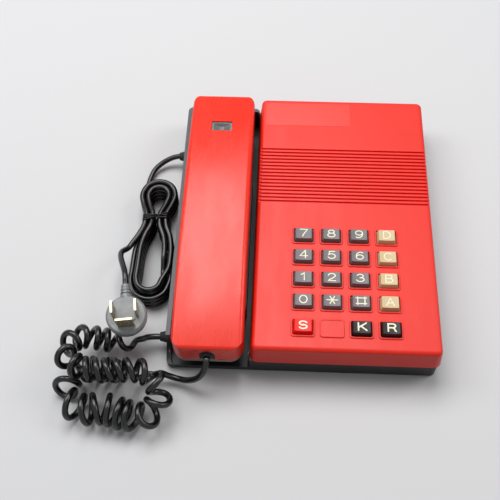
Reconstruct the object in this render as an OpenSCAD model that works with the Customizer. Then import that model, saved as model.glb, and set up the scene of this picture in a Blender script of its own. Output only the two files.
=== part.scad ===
// Push-button bar telephone: tray base with a handset bay, ribbed keypad cover,
// arched bar handset, curly handset cord and a hanked line cord with a three-blade plug.
// Units are millimetres, X to the right, Y to the rear, Z up, table at z = 0.

/* [Body] */
// overall length of the cover at the parting line
body_l = 213; // [211:1:222]
// height of the flat cover top above the table
top_h = 34.5; // [34:0.5:37]
// height of the line where cover and tray meet
parting_h = 17.5; // [16.5:0.5:18.5]
// height of the rim round the handset bay
rim_h = 22.5; // [20:0.5:24]
// height of the low lip in front of the handset
lip_h = 6; // [5:0.5:8]
// width of the keypad cover at the parting line
cover_w = 125; // [122:1:128]
// draft of the cover walls from parting line to top
draft = 1.5; // [1:0.25:1.75]
// step of the tray inside the cover edge
inset = 1.2; // [0.8:0.2:1.6]
// tray wall thickness
wall = 3; // [2.6:0.2:3.2]
// tray floor thickness
floor_t = 2.5; // [2:0.25:3]
// cover wall thickness
shell_t = 2.5; // [2:0.25:2.75]
// rounding of the cover's top edges
edge_r = 3; // [2:0.25:3.5]
// rounding of the tray corners in plan
corner_r = 4; // [3.5:0.5:5]
// rounding of the cover corners at the parting line
cover_r = 5.5; // [5.5:0.5:7]
// height of the rubber feet under the tray
foot_h = 1.5; // [1:0.25:2]

/* [Ribbed band] */
// number of grooves across the cover
groove_n = 16; // [12:1:17]
// spacing of the grooves
groove_pitch = 3.09; // [2.8:0.05:3.2]
// width of one groove
groove_w = 1.5; // [1:0.1:1.7]
// depth of one groove
groove_d = 1.2; // [0.8:0.1:1.4]
// distance from the rearmost key row to the foremost groove
groove_in = 28.8; // [27:0.2:32]

/* [Keys] */
// spacing of the key columns
col_pitch = 18.9; // [18.5:0.1:20]
// spacing of the upper four key rows
row_pitch = 17.1; // [16.5:0.1:17.3]
// distance from the fourth row to the last row
last_pitch = 18.6; // [17.5:0.1:19]
// distance from the cover's front edge to the last key row
key_in = 17.8; // [17.2:0.1:20]
// key cap width at its foot
key_w = 13; // [12.4:0.1:13.4]
// key cap depth at its foot
key_l = 10.4; // [10:0.1:10.8]
// taper of the key cap on each side
key_taper = 0.9; // [0.6:0.1:1.1]
// height of the key caps above the cover
key_rise = 4; // [3.4:0.1:4.6]
// clearance between a key and its aperture
key_gap = 0.4; // [0.35:0.05:0.5]
// travel of a key when it is pressed
key_travel = 2; // [1.5:0.1:2.2]
// width of the raised frame round each aperture
frame_w = 1.2; // [0.8:0.1:1.3]
// height of the raised frame round each aperture
frame_h = 0.8; // [0.6:0.1:1]

/* [Handset] */
// handset width
hs_w = 46.5; // [45:0.5:47.5]
// how much shorter the handset is than the body
hs_less = 4; // [4:1:8]
// handset thickness over both shells
hs_t = 20.5; // [19.5:0.5:22]
// height of the handset's top at its front end
hs_end_h = 38.5; // [38:0.5:40]
// rise of the arched top from the front end to its highest point
hs_rise = 11; // [10:0.5:12]
// wall thickness of the handset shells
hs_shell = 2.2; // [1.8:0.2:2.4]
// height of the lower handset shell
hs_low = 4; // [3.6:0.2:4.6]
// rounding of the handset's long edges
hs_edge = 3; // [2.5:0.25:3.5]
// rounding of the handset corners in plan
hs_corner = 9; // [8:0.5:10]
// distance from the handset's middle to the arch's highest point, towards the ear end
apex_off = 8.2; // [4:0.2:10]
// distance from the rear end to the middle of the ear cap
ear_in = 27.3; // [26:0.1:30]
// distance from the front end to the middle of the mouth cap
mouth_in = 21.7; // [20:0.1:24]
// distance from the rear end to the middle of the lamp window
lamp_in = 33.8; // [32:0.2:40]
// radius of the round ear cap
ear_r = 19; // [17.5:0.5:19.5]
// height of the cap undersides above the table
cap_h = 9; // [8:0.5:10]
// width of the lamp window near the ear end
lamp_w = 15; // [13:0.5:17]
// length of the lamp window
lamp_l = 9.4; // [8:0.2:11]

/* [Handset bay] */
// gap between the handset and the tray rim
side_gap = 2.75; // [1.5:0.25:2.75]
// gap between the handset and the keypad cover
cover_gap = 3.75; // [2.5:0.25:4]
// width of the channel beside the hump
channel_w = 3.5; // [3:0.25:4]
// height of the hump between the two wells
hump_h = 18.5; // [17:0.5:19]
// gap between the mouth cap and the hump
mouth_gap = 4; // [3:0.5:8]
// gap between the ear cap and the hump
ear_gap = 18; // [14:1:19]
// length of the number card
card_l = 58; // [50:1:60]
// width of the number card
card_w = 35; // [30:1:36]
// travel of the hook plunger
hook_travel = 4; // [2.5:0.5:4]

/* [Cords] */
// diameter of the curly handset cord
cord_d = 4.2; // [3.8:0.1:4.4]
// number of curls in the handset cord
curl_n = 26; // [20, 22, 26]
// outer diameter of a curl
curl_od = 17; // [16.4:0.2:17.6]
// diameter of the line cord
line_d = 4; // [3.6:0.1:4]
// sideways and upward spacing of the hank's strands
hank_pitch = 4.6; // [4.5:0.1:5]
// diameter of the plug's round face
plug_dia = 27; // [25:0.5:28]

/* [Hidden] */
$fn = 48;
eps = 0.01;
body_w = wall + side_gap + hs_w + cover_gap + cover_w;
hs_l = body_l - hs_less;
left = -body_w / 2;
right = body_w / 2;
front = -body_l / 2;
rear = body_l / 2;
cover_left = right - cover_w;
tray_right = right - inset;
tray_front = front + inset;
tray_rear = rear - inset;
floor_z = foot_h + floor_t;
bay_left = left + wall;
seat = 0.2;
hs_x = bay_left + side_gap + hs_w / 2;
hs_y = tray_rear - wall - 1 - hs_l / 2;
hump_right = cover_left - channel_w;
hump_t = 2.5;
last_y = front + key_in;
key_y = last_y + last_pitch + 3 * row_pitch;
groove_y = key_y + groove_in + (groove_n - 1) * groove_pitch;
ceil_z = top_h - shell_t;
partition_t = 2.4;
sweep_r = 12;
lip_t = 2;

// handset arc: the top and the underside share one centre, below the highest point
hs_apex_y = hs_y + apex_off;
hs_front = hs_y - hs_l / 2;
hs_top_z = hs_end_h + hs_rise;
hs_r = (pow(hs_apex_y - hs_front, 2) + pow(hs_rise, 2)) / (2 * hs_rise);
hs_r_low = hs_r - hs_t;
hs_c_z = hs_top_z - hs_r;
low_w = hs_w - 1.2;
ear_y = hs_y + hs_l / 2 - ear_in;
mouth_y = hs_front + mouth_in;
mouth_l = 28;
mouth_w = 34;
cap_floor = 2;
hump_front = mouth_y + mouth_l / 2 + mouth_gap;
hump_rear = ear_y - ear_r - ear_gap;
card_y = (hump_front + hump_rear) / 2;
hs_screw_y = [ear_y - 28, mouth_y + 34];
weight_l = hs_screw_y[0] - hs_screw_y[1] - 36;
weight_w = 28;
weight_t = 7;
mic_r = 9.5;
capsule_h = 8;
hs_board_w = 28;
hs_board_l = 24;
hs_screw_l = 14;
lamp_y = hs_y + hs_l / 2 - lamp_in;
cord_hole_r = 5;
cord_exit_z = 29;
sleeve_in = hs_front + hs_shell + 3;
function hs_under(y) = hs_c_z + sqrt(pow(hs_r_low, 2) - pow(y - hs_apex_y, 2));
function hs_over(y) = hs_c_z + sqrt(pow(hs_r, 2) - pow(y - hs_apex_y, 2));

// key grid
col_x = (cover_left + right) / 2 - 1.5 * col_pitch;
col_n = 4;
flange_w = key_w + 1.6;
flange_l = key_l + 1.6;
flange_t = 1.2;
flange_z = ceil_z - seat - flange_t;
board_t = 1.6;
mat_t = 0.8;
key_room = 1.8;
keypad_z = flange_z - key_travel - key_room - mat_t - board_t;
dish_r = 60;
dish_d = 0.25;
dome_h = 2;
keypad_w = 3 * col_pitch + key_w + 16;
keypad_front = last_y - key_l / 2 - 4;
keypad_rear = key_y + key_l / 2 + 6;
keypad_x = col_x + 1.5 * col_pitch;
function row_y(r) = r < 4 ? key_y - r * row_pitch : last_y;

// inner parts
main_z = 9;
main_left = cover_left + 16;
main_right = right - 14;
main_front = keypad_rear + 13.6;
main_rear = rear - 14;
core_w = 24;
core_l = 20;
core_h = 16;
chip_w = 19;
chip_l = 7;
chip_h = 4;
can_r = 4;
can_h = 11;
parts_in = 12;
sounder_in = 9;
screw_l = 24;
parts_pitch = (main_right - main_left - 2 * parts_in - chip_w) / 2;
sounder_r = 15;
sounder_h = 9;
boss_r = 4;
screw_r = 1.3;
boss_xy = [[cover_left + 8, front + 10], [right - 8.5, front + 10],
    [cover_left + 8, rear - 10], [right - 8.5, rear - 10]];
pin_in = keypad_w / 2 - 3.5;
pin_xy = [[keypad_x - pin_in, keypad_rear - 3.5], [keypad_x + pin_in, keypad_rear - 3.5],
    [keypad_x - pin_in, keypad_front + 3.5], [keypad_x + pin_in, keypad_front + 3.5]];
post_xy = [[main_left + 5, main_front + 5], [main_right - 5, main_front + 5],
    [main_left + 5, main_rear - 5], [main_right - 5, main_rear - 5]];
foot_xy = [[left + 16, tray_front + 16], [tray_right - 16, tray_front + 16],
    [left + 16, tray_rear - 16], [tray_right - 16, tray_rear - 16]];
foot_r = 6;
keyhole_x = 28;
keyhole_y = 50;
hook_y = hump_rear - 9;
switch_top = hump_h - hump_t - hook_travel - 2.2;
plunger_w = 8;
plunger_l = 5;
grommet_r = 4.2;
grommet_z = 10;
curly_y = front + 19.5;
line_y = rear - 40.5;

// curly cord axis: hand-laid points of the heap, counted from the front left corner of the housing
curl_r = (curl_od - cord_d) / 2;
curl_z = curl_od / 2 + 0.5;
heap = [[-6.5, -7.5, 0], [-19.5, -8.5, 0], [-32.5, -6.5, 0], [-47.5, -4.5, 0], [-60.5, -10.5, 0],
    [-64.5, -25.5, 0], [-51.5, -35.5, 0], [-36.5, -35.5, 0], [-22.5, -38.5, 0], [-7.5, -38.5, 3],
    [0.5, -25.5, 10], [-8.5, -13.5, 16], [-23.5, -12.5, 18.5], [-38.5, -13.5, 18.5], [-53.5, -11.5, 19],
    [-63.5, -0.5, 18], [-56.5, 12.5, 11], [-41.5, 14.5, 4], [-27.5, 12.5, 1], [-14.5, 18.5, 1]];
coil_axis = [for (p = heap) p + [left, front, curl_z]];
coil_in = [left - 1.5, front - 6.5, curl_z];
coil_out = [left - 9.5, front + 19.2, curl_z + 1];
sleeve_tip = hs_front - 1.5;
hs_exit_y = sleeve_tip - 0.02;
handset_lead_mid = [[hs_x - 1, front - 9.5, 24.5], [hs_x - 6.5, front - 8.5, 14],
    [hs_x - 14.5, front - 5.5, 5.5], [hs_x - 23.5, front - 5, 4]];

// line cord hank: hand-laid frame of the bundle beside the tray
hank_x = left - 16.5;
hank_front = front + 60.5;
hank_rear = hank_front + 71;
hank_waist = hank_front + 50;
hank_half_rear = 8;
hank_half_front = 9;
hank_z = line_d / 2 + 0.2;
tie_t = 0.8;
hank_turns = 8;
hank_rings = 24;

plug_pos = [left - 25.9, front + 24.3, 32];
plug_tilt = 8;
plug_turn = 8;
plug_t = 9;
plug_rim = 1.2;
blade_l = 14;
neck_l = 9;
neck_y = plug_dia / 2 + neck_l;
neck_z = -plug_t / 2;
function plug_point(p) = let (y = p[1] * cos(plug_tilt) - p[2] * sin(plug_tilt),
    z = p[1] * sin(plug_tilt) + p[2] * cos(plug_tilt))
    plug_pos + [p[0] * cos(plug_turn) - y * sin(plug_turn), p[0] * sin(plug_turn) + y * cos(plug_turn), z];
plug_way = plug_point([0, -1, 0]) - plug_pos;

// ---- shared shapes ----

// rectangle with round corners, given by its edges
module plan(x0, x1, y0, y1, r) {
    translate([x0 + r, y0])
        square([x1 - x0 - 2 * r, y1 - y0]);
    translate([x0, y0 + r])
        square([x1 - x0, y1 - y0 - 2 * r]);
    for (x = [x0 + r, x1 - r])
        for (y = [y0 + r, y1 - r])
            translate([x, y])
                circle(r);
}

// upright block with round plan corners
module block(x0, x1, y0, y1, z0, z1, r) {
    translate([0, 0, z0])
        linear_extrude(z1 - z0)
            plan(x0, x1, y0, y1, r);
}

// side view of a tapered block: foot from a0 to a1, top edges rounded by r
module taper_view(a0, a1, h, d, r) {
    polygon([[a0, 0], [a1, 0], [a1 - d, h - r], [a1 - d - r, h], [a0 + d + r, h], [a0 + d, h - r]]);
    translate([a0 + d + r, h - r])
        circle(r);
    translate([a1 - d - r, h - r])
        circle(r);
}

// tapered block with rounded top edges; its corners are cones of foot radius rc
module tapered(x0, x1, y0, y1, z0, z1, d, r, rc) {
    translate([0, y1 - rc, z0])
        rotate([90, 0, 0])
            linear_extrude(y1 - y0 - 2 * rc)
                taper_view(x0, x1, z1 - z0, d, r);
    translate([x0 + rc, 0, z0])
        rotate([90, 0, 90])
            linear_extrude(x1 - x0 - 2 * rc)
                taper_view(y0, y1, z1 - z0, d, r);
    for (p = [[x1 - rc, y1 - rc, 0], [x0 + rc, y1 - rc, 90],
        [x0 + rc, y0 + rc, 180], [x1 - rc, y0 + rc, 270]])
        translate([p[0], p[1], z0])
            rotate([0, 0, p[2]])
                rotate_extrude(angle = 90)
                    intersection() {
                        taper_view(-rc, rc, z1 - z0, d, r);
                        square([rc, z1 - z0]);
                    }
}

// tube standing at a point
module tube(p, z0, z1, r, hole) {
    translate([p[0], p[1], z0])
        difference() {
            cylinder(r = r, h = z1 - z0);
            translate([0, 0, -1])
                cylinder(r = hole, h = z1 - z0 + 2);
        }
}

// arched bar from radius r0 to r1 about the handset's arc centre, top edges rounded
module arc_bar(w, r0, r1, rt) {
    translate([hs_x, hs_apex_y, hs_c_z])
        rotate([0, 90, 0])
            intersection() {
                difference() {
                    translate([0, 0, -w / 2])
                        cylinder(r = r1, h = w, $fn = 360);
                    translate([0, 0, -w / 2 - 1])
                        cylinder(r = r0, h = w + 2, $fn = 360);
                    for (side = [0, 1])
                        mirror([0, 0, side])
                            rotate_extrude($fn = 360)
                                difference() {
                                    translate([r1 - rt, w / 2 - rt])
                                        square(rt + 1);
                                    translate([r1 - rt, w / 2 - rt])
                                        circle(rt, $fn = 32);
                                }
                }
                translate([-r1 - 10, hs_front - hs_apex_y - 8, -w])
                    cube([r1, hs_l + 16, 2 * w]);
            }
}

// ---- cords ----

function unit(v) = v / norm(v);
function bend(p0, p1, p2, p3, t) = 0.5 * (2 * p1 + (p2 - p0) * t
    + (2 * p0 - 5 * p1 + 4 * p2 - p3) * t * t + (3 * p1 - p0 - 3 * p2 + p3) * t * t * t);
function along(p, s) = let (n = len(p) - 1, i = min(floor(s * n), n - 1), t = s * n - i)
    bend(i == 0 ? 2 * p[0] - p[1] : p[i - 1], p[i], p[i + 1], i + 2 > n ? 2 * p[n] - p[n - 1] : p[i + 2], t);
function smooth(p, count) = [for (k = [0:count]) along(p, k / count)];
function heading(p, i) = unit(p[min(i + 1, len(p) - 1)] - p[max(i - 1, 0)]);
function level(t, u) = unit(u - (u * t) * t);
function carry(p, u, i = 0, kept = []) = i == len(p) ? kept
    : let (v = level(heading(p, i), u)) carry(p, v, i + 1, concat(kept, [v]));
// smallest distance between points of one cord that are not neighbours, less its diameter
function least_gap(p, skip, d) = min([for (i = [0:len(p) - 1]) for (j = [i + skip:1:len(p) - 1])
    norm(p[i] - p[j])]) - d;

// round cord through the points p with side directions u
module cord(p, u, r, sides) {
    rings = [for (i = [0:len(p) - 1]) let (t = heading(p, i), a = level(t, u[i]), b = cross(t, a))
        for (k = [0:sides - 1]) p[i] + r * (cos(360 * k / sides) * a + sin(360 * k / sides) * b)];
    last = (len(p) - 1) * sides;
    walls = [for (i = [0:len(p) - 2]) for (k = [0:sides - 1])
        let (a = i * sides + k, b = i * sides + (k + 1) % sides)
        for (half = [[a, b, a + sides], [b, b + sides, a + sides]]) half];
    polyhedron(rings, concat(walls, [[for (k = [sides - 1:-1:0]) k]], [[for (k = [0:sides - 1]) last + k]]));
}

// plain lead from p0 along w0 through hand-laid points to p1 along w1, straight for one diameter at both ends
function lead_pts(p0, w0, mid, p1, w1, count, d) =
    concat([p0], smooth(concat([p0 + d * w0], mid, [p1 - d * w1]), count), [p1]);
module lead(pts, d, u) {
    cord(pts, carry(pts, u), d / 2, 8);
}

// curly cord: a helix about the heap's axis that closes in to the axis at both ends
curl_steps = curl_n * 8;
function axis_at(s) = along(coil_axis, s);
function axis_dir(s) = unit(axis_at(min(s + 0.004, 1)) - axis_at(max(s - 0.004, 0)));
function ramp(s, n) = pow(min(1, s * n / 1.6, (1 - s) * n / 1.6), 1.5);
function curl_side(s, turn) = let (t = axis_dir(s), a = unit(cross([0, 0, 1], t)), b = cross(t, a))
    cos(turn) * a + sin(turn) * b;
function curl_at(k) = let (s = k / curl_steps)
    axis_at(s) + curl_r * ramp(s, curl_n) * curl_side(s, 45 * k);
curl_pts = [for (k = [0:curl_steps]) curl_at(k)];
coil_in_way = unit(coil_axis[0] - coil_in);
coil_out_way = unit(coil_out - coil_axis[len(coil_axis) - 1]);
curl_all = concat([coil_in, coil_in + cord_d * coil_in_way], [for (k = [1:curl_steps - 1]) curl_pts[k]],
    [coil_out - cord_d * coil_out_way, coil_out]);
curl_sides = concat([curl_side(0, 0), curl_side(0, 0)],
    [for (k = [1:curl_steps - 1]) curl_side(k / curl_steps, 45 * k)],
    [curl_side(1, 0), curl_side(1, 0)]);
echo(curl_gap = least_gap(curl_all, 5, cord_d));

// hank: loops two abreast and four high, one strand moving over or up per turn
hank_state = [[1, 0], [0, 0], [0, 1], [1, 1], [1, 2], [0, 2], [0, 3], [1, 3]];
function step_at(v) = v <= 0 ? 0 : v >= 1 ? 1 : v * v * (3 - 2 * v);
function hank_mix(m, f) = m == 0 ? hank_state[0]
    : let (w = step_at((f * 8.4 - (7 - m)) / 1.4)) hank_state[m - 1] * (1 - w) + hank_state[m] * w;
function waist(y) = exp(-pow((y - hank_waist) / 13, 2));
function hank_half(y) = let (f = (y - hank_front) / (hank_rear - hank_front), p = waist(y))
    (hank_half_front * (1 - f) + hank_half_rear * f) * (1 - p) + 0.5 * hank_pitch * p;
function hank_run(side, y, st) = [hank_x + side * (hank_half(y) + st[0] * hank_pitch), y,
    hank_z + st[1] * hank_pitch + tie_t * pow(waist(y), 2)];
function hank_fold(half, y0, a, st) = let (r = half + st[0] * hank_pitch)
    [hank_x + r * cos(a), y0 + r * sin(a), hank_z + st[1] * hank_pitch];
function hank_at(m, k) = k < 8
    ? hank_run(1, hank_front + (hank_rear - hank_front) * k / 8, hank_mix(m, k / 8))
    : k < 12 ? hank_fold(hank_half(hank_rear), hank_rear, (k - 8) * 45, hank_state[m])
    : k < 20 ? hank_run(-1, hank_rear - (hank_rear - hank_front) * (k - 12) / 8, hank_state[m])
    : hank_fold(hank_half(hank_front), hank_front, 180 + (k - 20) * 45, hank_state[m]);
hank_first = 12;
hank_last = hank_turns * hank_rings - 8;
hank_pts = [for (n = [hank_first:hank_last]) hank_at(floor(n / hank_rings), n % hank_rings)];
hank_start = hank_pts[0] + [0, 2 * line_d, 0];
hank_count = len(hank_pts);
hank_way = unit(hank_pts[hank_count - 1] - hank_pts[hank_count - 2] - [1.5, 0, 0]);
hank_end = hank_pts[hank_count - 1] + 2 * line_d * hank_way;
hank_all = concat([hank_start], hank_pts, [hank_end]);
echo(hank_gap = least_gap(hank_all, 4, line_d));

// routes of the plain leads
handset_lead = lead_pts([hs_x, hs_exit_y, cord_exit_z], [0, -1, 0], handset_lead_mid,
    coil_in, coil_in_way, 16, cord_d);
base_curly_lead = lead_pts(coil_out, coil_out_way, [], [left - 2, curly_y, grommet_z], [1, 0, 0], 1, cord_d);
base_line_lead = lead_pts([left - 2, line_y, grommet_z], [-1, 0, 0], [[left - 14, line_y - 1, 7],
    [left - 24, line_y - 9, 4]], hank_start, [0, -1, 0], 9, line_d);
plug_lead = lead_pts(hank_end, hank_way, [hank_end + 12 * hank_way + [0, 0, 5],
    plug_point([0, neck_y + 8, neck_z])], plug_point([0, neck_y - 2.5, neck_z]), plug_way, 9, line_d);

// ---- tray ----

module base_tray() {
    color("#2b2b2d")
    difference() {
        union() {
            block(left, tray_right, tray_front, tray_rear, foot_h, floor_z, corner_r);
            difference() {
                union() {
                    block(left, tray_right, tray_front, tray_rear, foot_h, parting_h, corner_r);
                    block(left, cover_left, tray_front, tray_rear, foot_h, rim_h, corner_r);
                }
                block(cover_left + partition_t, tray_right - wall, tray_front + wall, tray_rear - wall,
                    floor_z, top_h, corner_r - 1);
                block(bay_left, cover_left, tray_front + lip_t, tray_rear - wall, floor_z, top_h, 3);
                // the rim sweeps down to the low lip in front of the handset
                translate([left - 1, tray_front - 1, lip_h])
                    cube([cover_left - left + 1, lip_t + 1.5, top_h]);
                translate([left - 1, tray_front + lip_t, lip_h + sweep_r])
                    rotate([0, 90, 0])
                        cylinder(r = sweep_r, h = wall + 1.5);
                translate([left - 1, tray_front - 1, lip_h + sweep_r])
                    cube([wall + 1.5, sweep_r + lip_t + 1, top_h]);
            }
            hump();
            tube([hs_x, ear_y], floor_z - eps, cap_h - seat, ear_r, ear_r - 3);
            for (y = [mouth_y - 8, mouth_y + 8])
                translate([hs_x - 15, y - 1, floor_z - eps])
                    cube([30, 2, cap_h - seat - floor_z + eps]);
            for (p = boss_xy)
                translate([p[0], p[1], floor_z - eps])
                    cylinder(r = boss_r, h = parting_h - floor_z + eps);
            for (p = post_xy) {
                translate([p[0], p[1], floor_z - eps])
                    cylinder(r = 3, h = main_z - floor_z + eps);
                translate([p[0], p[1], main_z - eps])
                    cylinder(r = 1.1, h = 2.6);
            }
        }
        for (p = boss_xy) {
            translate([p[0], p[1], foot_h - 1])
                cylinder(r = 3.6, h = 2.5);
            translate([p[0], p[1], foot_h])
                cylinder(r = screw_r + 0.3, h = top_h);
        }
        // keyholes for hanging the set on two wall screws
        for (y = [-keyhole_y, keyhole_y])
            keyhole(keyhole_x, y);
        // outlets of the two cords
        for (y = [curly_y, line_y])
            translate([left - 1, y, grommet_z])
                rotate([0, 90, 0])
                    cylinder(r = grommet_r, h = wall + 2);
    }
}

module keyhole(x, y) {
    translate([x, y, foot_h - 1])
        cylinder(r = 4.5, h = floor_t + 2);
    translate([x - 2.2, y, foot_h - 1])
        cube([4.4, 9, floor_t + 2]);
    translate([x, y + 9, foot_h - 1])
        cylinder(r = 2.2, h = floor_t + 2);
}

// hollow hump between the ear well and the mouth well, with the card recess
module hump() {
    difference() {
        translate([bay_left - eps, hump_front, floor_z - eps])
            cube([hump_right - bay_left + eps, hump_rear - hump_front, hump_h - floor_z + eps]);
        translate([bay_left, hump_front + hump_t, floor_z - 1])
            cube([hump_right - bay_left - hump_t, hump_rear - hump_front - 2 * hump_t,
                hump_h - hump_t - floor_z + 1]);
        block(hs_x - card_w / 2 - 1.5, hs_x + card_w / 2 + 1.5,
            card_y - card_l / 2 - 1, card_y + card_l / 2 + 1, hump_h - 1.6, hump_h + 1, 2);
        translate([hs_x - plunger_w / 2 - 0.4, hook_y - plunger_l / 2 - 0.4, floor_z])
            cube([plunger_w + 0.8, plunger_l + 0.8, hump_h]);
    }
}

// ---- cover ----

module aperture(x, y) {
    block(x - key_w / 2 - key_gap, x + key_w / 2 + key_gap, y - key_l / 2 - key_gap, y + key_l / 2 + key_gap,
        ceil_z - 1, top_h + 2, 1);
}

module aperture_frame(x, y) {
    w = key_w / 2 + key_gap + frame_w;
    l = key_l / 2 + key_gap + frame_w;
    translate([x, y, top_h])
        tapered(-w, w, -l, l, -1, frame_h, 0.2, 0.5, 2);
}

module top_cover() {
    color("#e8231a")
    difference() {
        union() {
            difference() {
                tapered(cover_left, right, front, rear, parting_h, top_h, draft, edge_r, cover_r);
                tapered(cover_left + shell_t, right - shell_t, front + shell_t, rear - shell_t,
                    parting_h - 1, ceil_z, draft, 0.5, cover_r - shell_t);
                for (i = [0:groove_n - 1])
                    translate([cover_left - 1, groove_y - i * groove_pitch - groove_w / 2, top_h - groove_d])
                        cube([cover_w + 2, groove_w, 5]);
            }
            for (r = [0:4])
                for (c = [0:col_n - 1])
                    aperture_frame(col_x + c * col_pitch, row_y(r));
            for (p = boss_xy)
                tube(p, parting_h, ceil_z + 0.5, boss_r, screw_r + 0.1);
            for (p = pin_xy) {
                translate([p[0], p[1], keypad_z + board_t])
                    cylinder(r = 2.6, h = ceil_z - keypad_z - board_t + 0.5);
                translate([p[0], p[1], keypad_z - 0.8])
                    cylinder(r = 1.1, h = 4);
            }
        }
        for (r = [0:4])
            for (c = [0:col_n - 1])
                if (r < 4 || c != 1)
                    aperture(col_x + c * col_pitch, row_y(r));
        // the fourth place of the last row is a blank with a shallow recess
        translate([0, 0, top_h + frame_h - 0.4 - ceil_z + 1])
            aperture(col_x + col_pitch, last_y);
    }
}

module rubber_feet() {
    color("#1a1a1a")
    for (p = foot_xy)
        translate([p[0], p[1], 0])
            cylinder(r = foot_r, h = foot_h);
}

module case_screws() {
    color("#8d9094")
    for (p = boss_xy) {
        translate([p[0], p[1], foot_h + 0.1])
            cylinder(r = 3, h = 1.4);
        translate([p[0], p[1], foot_h + 0.1])
            cylinder(r = screw_r, h = screw_l);
    }
}

// ---- inside the housing ----

module main_board() {
    color("#2f6b3a")
    difference() {
        translate([main_left, main_front, main_z])
            cube([main_right - main_left, main_rear - main_front, board_t]);
        for (p = post_xy)
            translate([p[0], p[1], main_z - 1])
                cylinder(r = 1.4, h = board_t + 2);
    }
}

module line_transformer() {
    color("#6d6a63") {
        translate([main_left + parts_in, main_rear - core_l - parts_in, main_z + board_t])
            cube([core_w, core_l, 3]);
        translate([main_left + parts_in + 2, main_rear - core_l - parts_in + 2, main_z + board_t + 3 - eps])
            cube([core_w - 4, core_l - 4, core_h - 3]);
    }
}

module board_parts() {
    color("#2a2a2e")
    for (i = [0:2]) {
        translate([main_left + parts_in + i * parts_pitch, main_front + 9, main_z + board_t])
            cube([chip_w, chip_l, chip_h]);
        translate([main_left + parts_in + 4 + i * parts_pitch, main_front + chip_l + can_r + 12,
            main_z + board_t])
            cylinder(r = can_r, h = can_h);
    }
}

module ringer_sounder() {
    color("#1f1f22")
    translate([main_right - sounder_r - sounder_in, main_rear - sounder_r - 2, main_z + board_t])
        difference() {
            cylinder(r = sounder_r, h = sounder_h);
            translate([0, 0, sounder_h - 4])
                cylinder(r = 2.5, h = 5);
        }
}

module keypad_board() {
    color("#b98a3c")
    difference() {
        translate([keypad_x - keypad_w / 2, keypad_front, keypad_z])
            cube([keypad_w, keypad_rear - keypad_front, board_t]);
        for (p = pin_xy)
            translate([p[0], p[1], keypad_z - 1])
                cylinder(r = 1.4, h = board_t + 2);
    }
}

module keypad_mat() {
    color("#9a9a98") {
        translate([keypad_x - keypad_w / 2 + 8, keypad_front + 1, keypad_z + board_t])
            cube([keypad_w - 16, keypad_rear - keypad_front - 2, mat_t]);
        for (r = [0:4])
            for (c = [0:col_n - 1])
                if (r < 4 || c != 1)
                    translate([col_x + c * col_pitch, row_y(r), keypad_z + board_t + mat_t - eps])
                        cylinder(r1 = 3, r2 = 2, h = dome_h, $fn = 24);
    }
}

// flat cable folded between the two boards
module ribbon_cable() {
    color("#b9b4a6")
    translate([keypad_x - 12, 0, 0])
        rotate([90, 0, 90])
            linear_extrude(24)
                polygon([[main_front + 3, main_z + board_t], [main_front + 3, main_z + board_t + 5],
                    [keypad_rear - 8, keypad_z - 1.2], [keypad_rear - 8, keypad_z],
                    [keypad_rear - 6.5, keypad_z],
                    [main_front + 4.2, main_z + board_t + 5.4], [main_front + 4.2, main_z + board_t]]);
}

module hook_switch_body() {
    color("#202124")
    difference() {
        translate([hs_x - 8, hook_y - 7, floor_z])
            cube([16, 13, switch_top - floor_z]);
        translate([hs_x - plunger_w / 2 - 0.5, hook_y - plunger_l / 2 - 0.5, floor_z + 2])
            cube([plunger_w + 1, plunger_l + 1, 7]);
    }
}

module hook_plunger() {
    color("#d8d5cc") {
        translate([hs_x - plunger_w / 2, hook_y - plunger_l / 2, floor_z + 2.4])
            cube([plunger_w, plunger_l, hs_under(hook_y + plunger_l / 2) - 0.3 - floor_z - 2.4]);
        translate([hs_x - plunger_w / 2 - 1.5, hook_y - plunger_l / 2 - 1.5,
            hump_h - hump_t - hook_travel - 1.8])
            cube([plunger_w + 3, plunger_l + 3, 1.4]);
    }
}

module number_card() {
    color("#ece7d8")
    translate([hs_x - card_w / 2, card_y - card_l / 2, hump_h - 1.6])
        cube([card_w, card_l, 0.4]);
}

module card_window() {
    color("#dfe3e6")
    block(hs_x - card_w / 2 - 1.3, hs_x + card_w / 2 + 1.3,
        card_y - card_l / 2 - 0.8, card_y + card_l / 2 + 0.8, hump_h - 1.2, hump_h - 0.2, 1.8);
}

// bushing in a cord outlet, flanged inside and tapered outside, with a straight bore
module grommet(y, d) {
    translate([left, y, grommet_z])
        rotate([0, -90, 0])
            difference() {
                union() {
                    translate([0, 0, -wall - 1.5])
                        cylinder(r = grommet_r + 1.2, h = 1.5);
                    translate([0, 0, -wall - 0.5])
                        cylinder(r = grommet_r - 0.05, h = wall + 0.5);
                    cylinder(r1 = grommet_r - 0.05, r2 = d / 2 + 0.9, h = 5);
                }
                translate([0, 0, 2])
                    cylinder(r = d / 2 + 0.15, h = 4);
            }
}

module curly_grommet() {
    color("#202022")
        grommet(curly_y, cord_d);
}

module line_grommet() {
    color("#202022")
        grommet(line_y, line_d);
}

// ---- handset ----

// rounds off the top edge at one end of the handset, just short of tangent to the arc and the end wall
module end_round(side) {
    r = hs_edge;
    in = r - 0.03;
    y = hs_y + side * (hs_l / 2 - in);
    slope = asin((y - hs_apex_y) / (hs_r - in));
    translate([hs_x - hs_w / 2 - 1, y, hs_c_z + (hs_r - in) * cos(slope)])
        difference() {
            intersection() {
                translate([0, side > 0 ? -r : -2 * r, 0])
                    cube([hs_w + 2, 3 * r, 2 * r]);
                rotate([-slope, 0, 0])
                    translate([0, side > 0 ? 0 : -2 * r, -r])
                        cube([hs_w + 2, 2 * r, 3 * r]);
            }
            translate([-1, 0, 0])
                rotate([0, 90, 0])
                    cylinder(r = r, h = hs_w + 4);
        }
}

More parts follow.
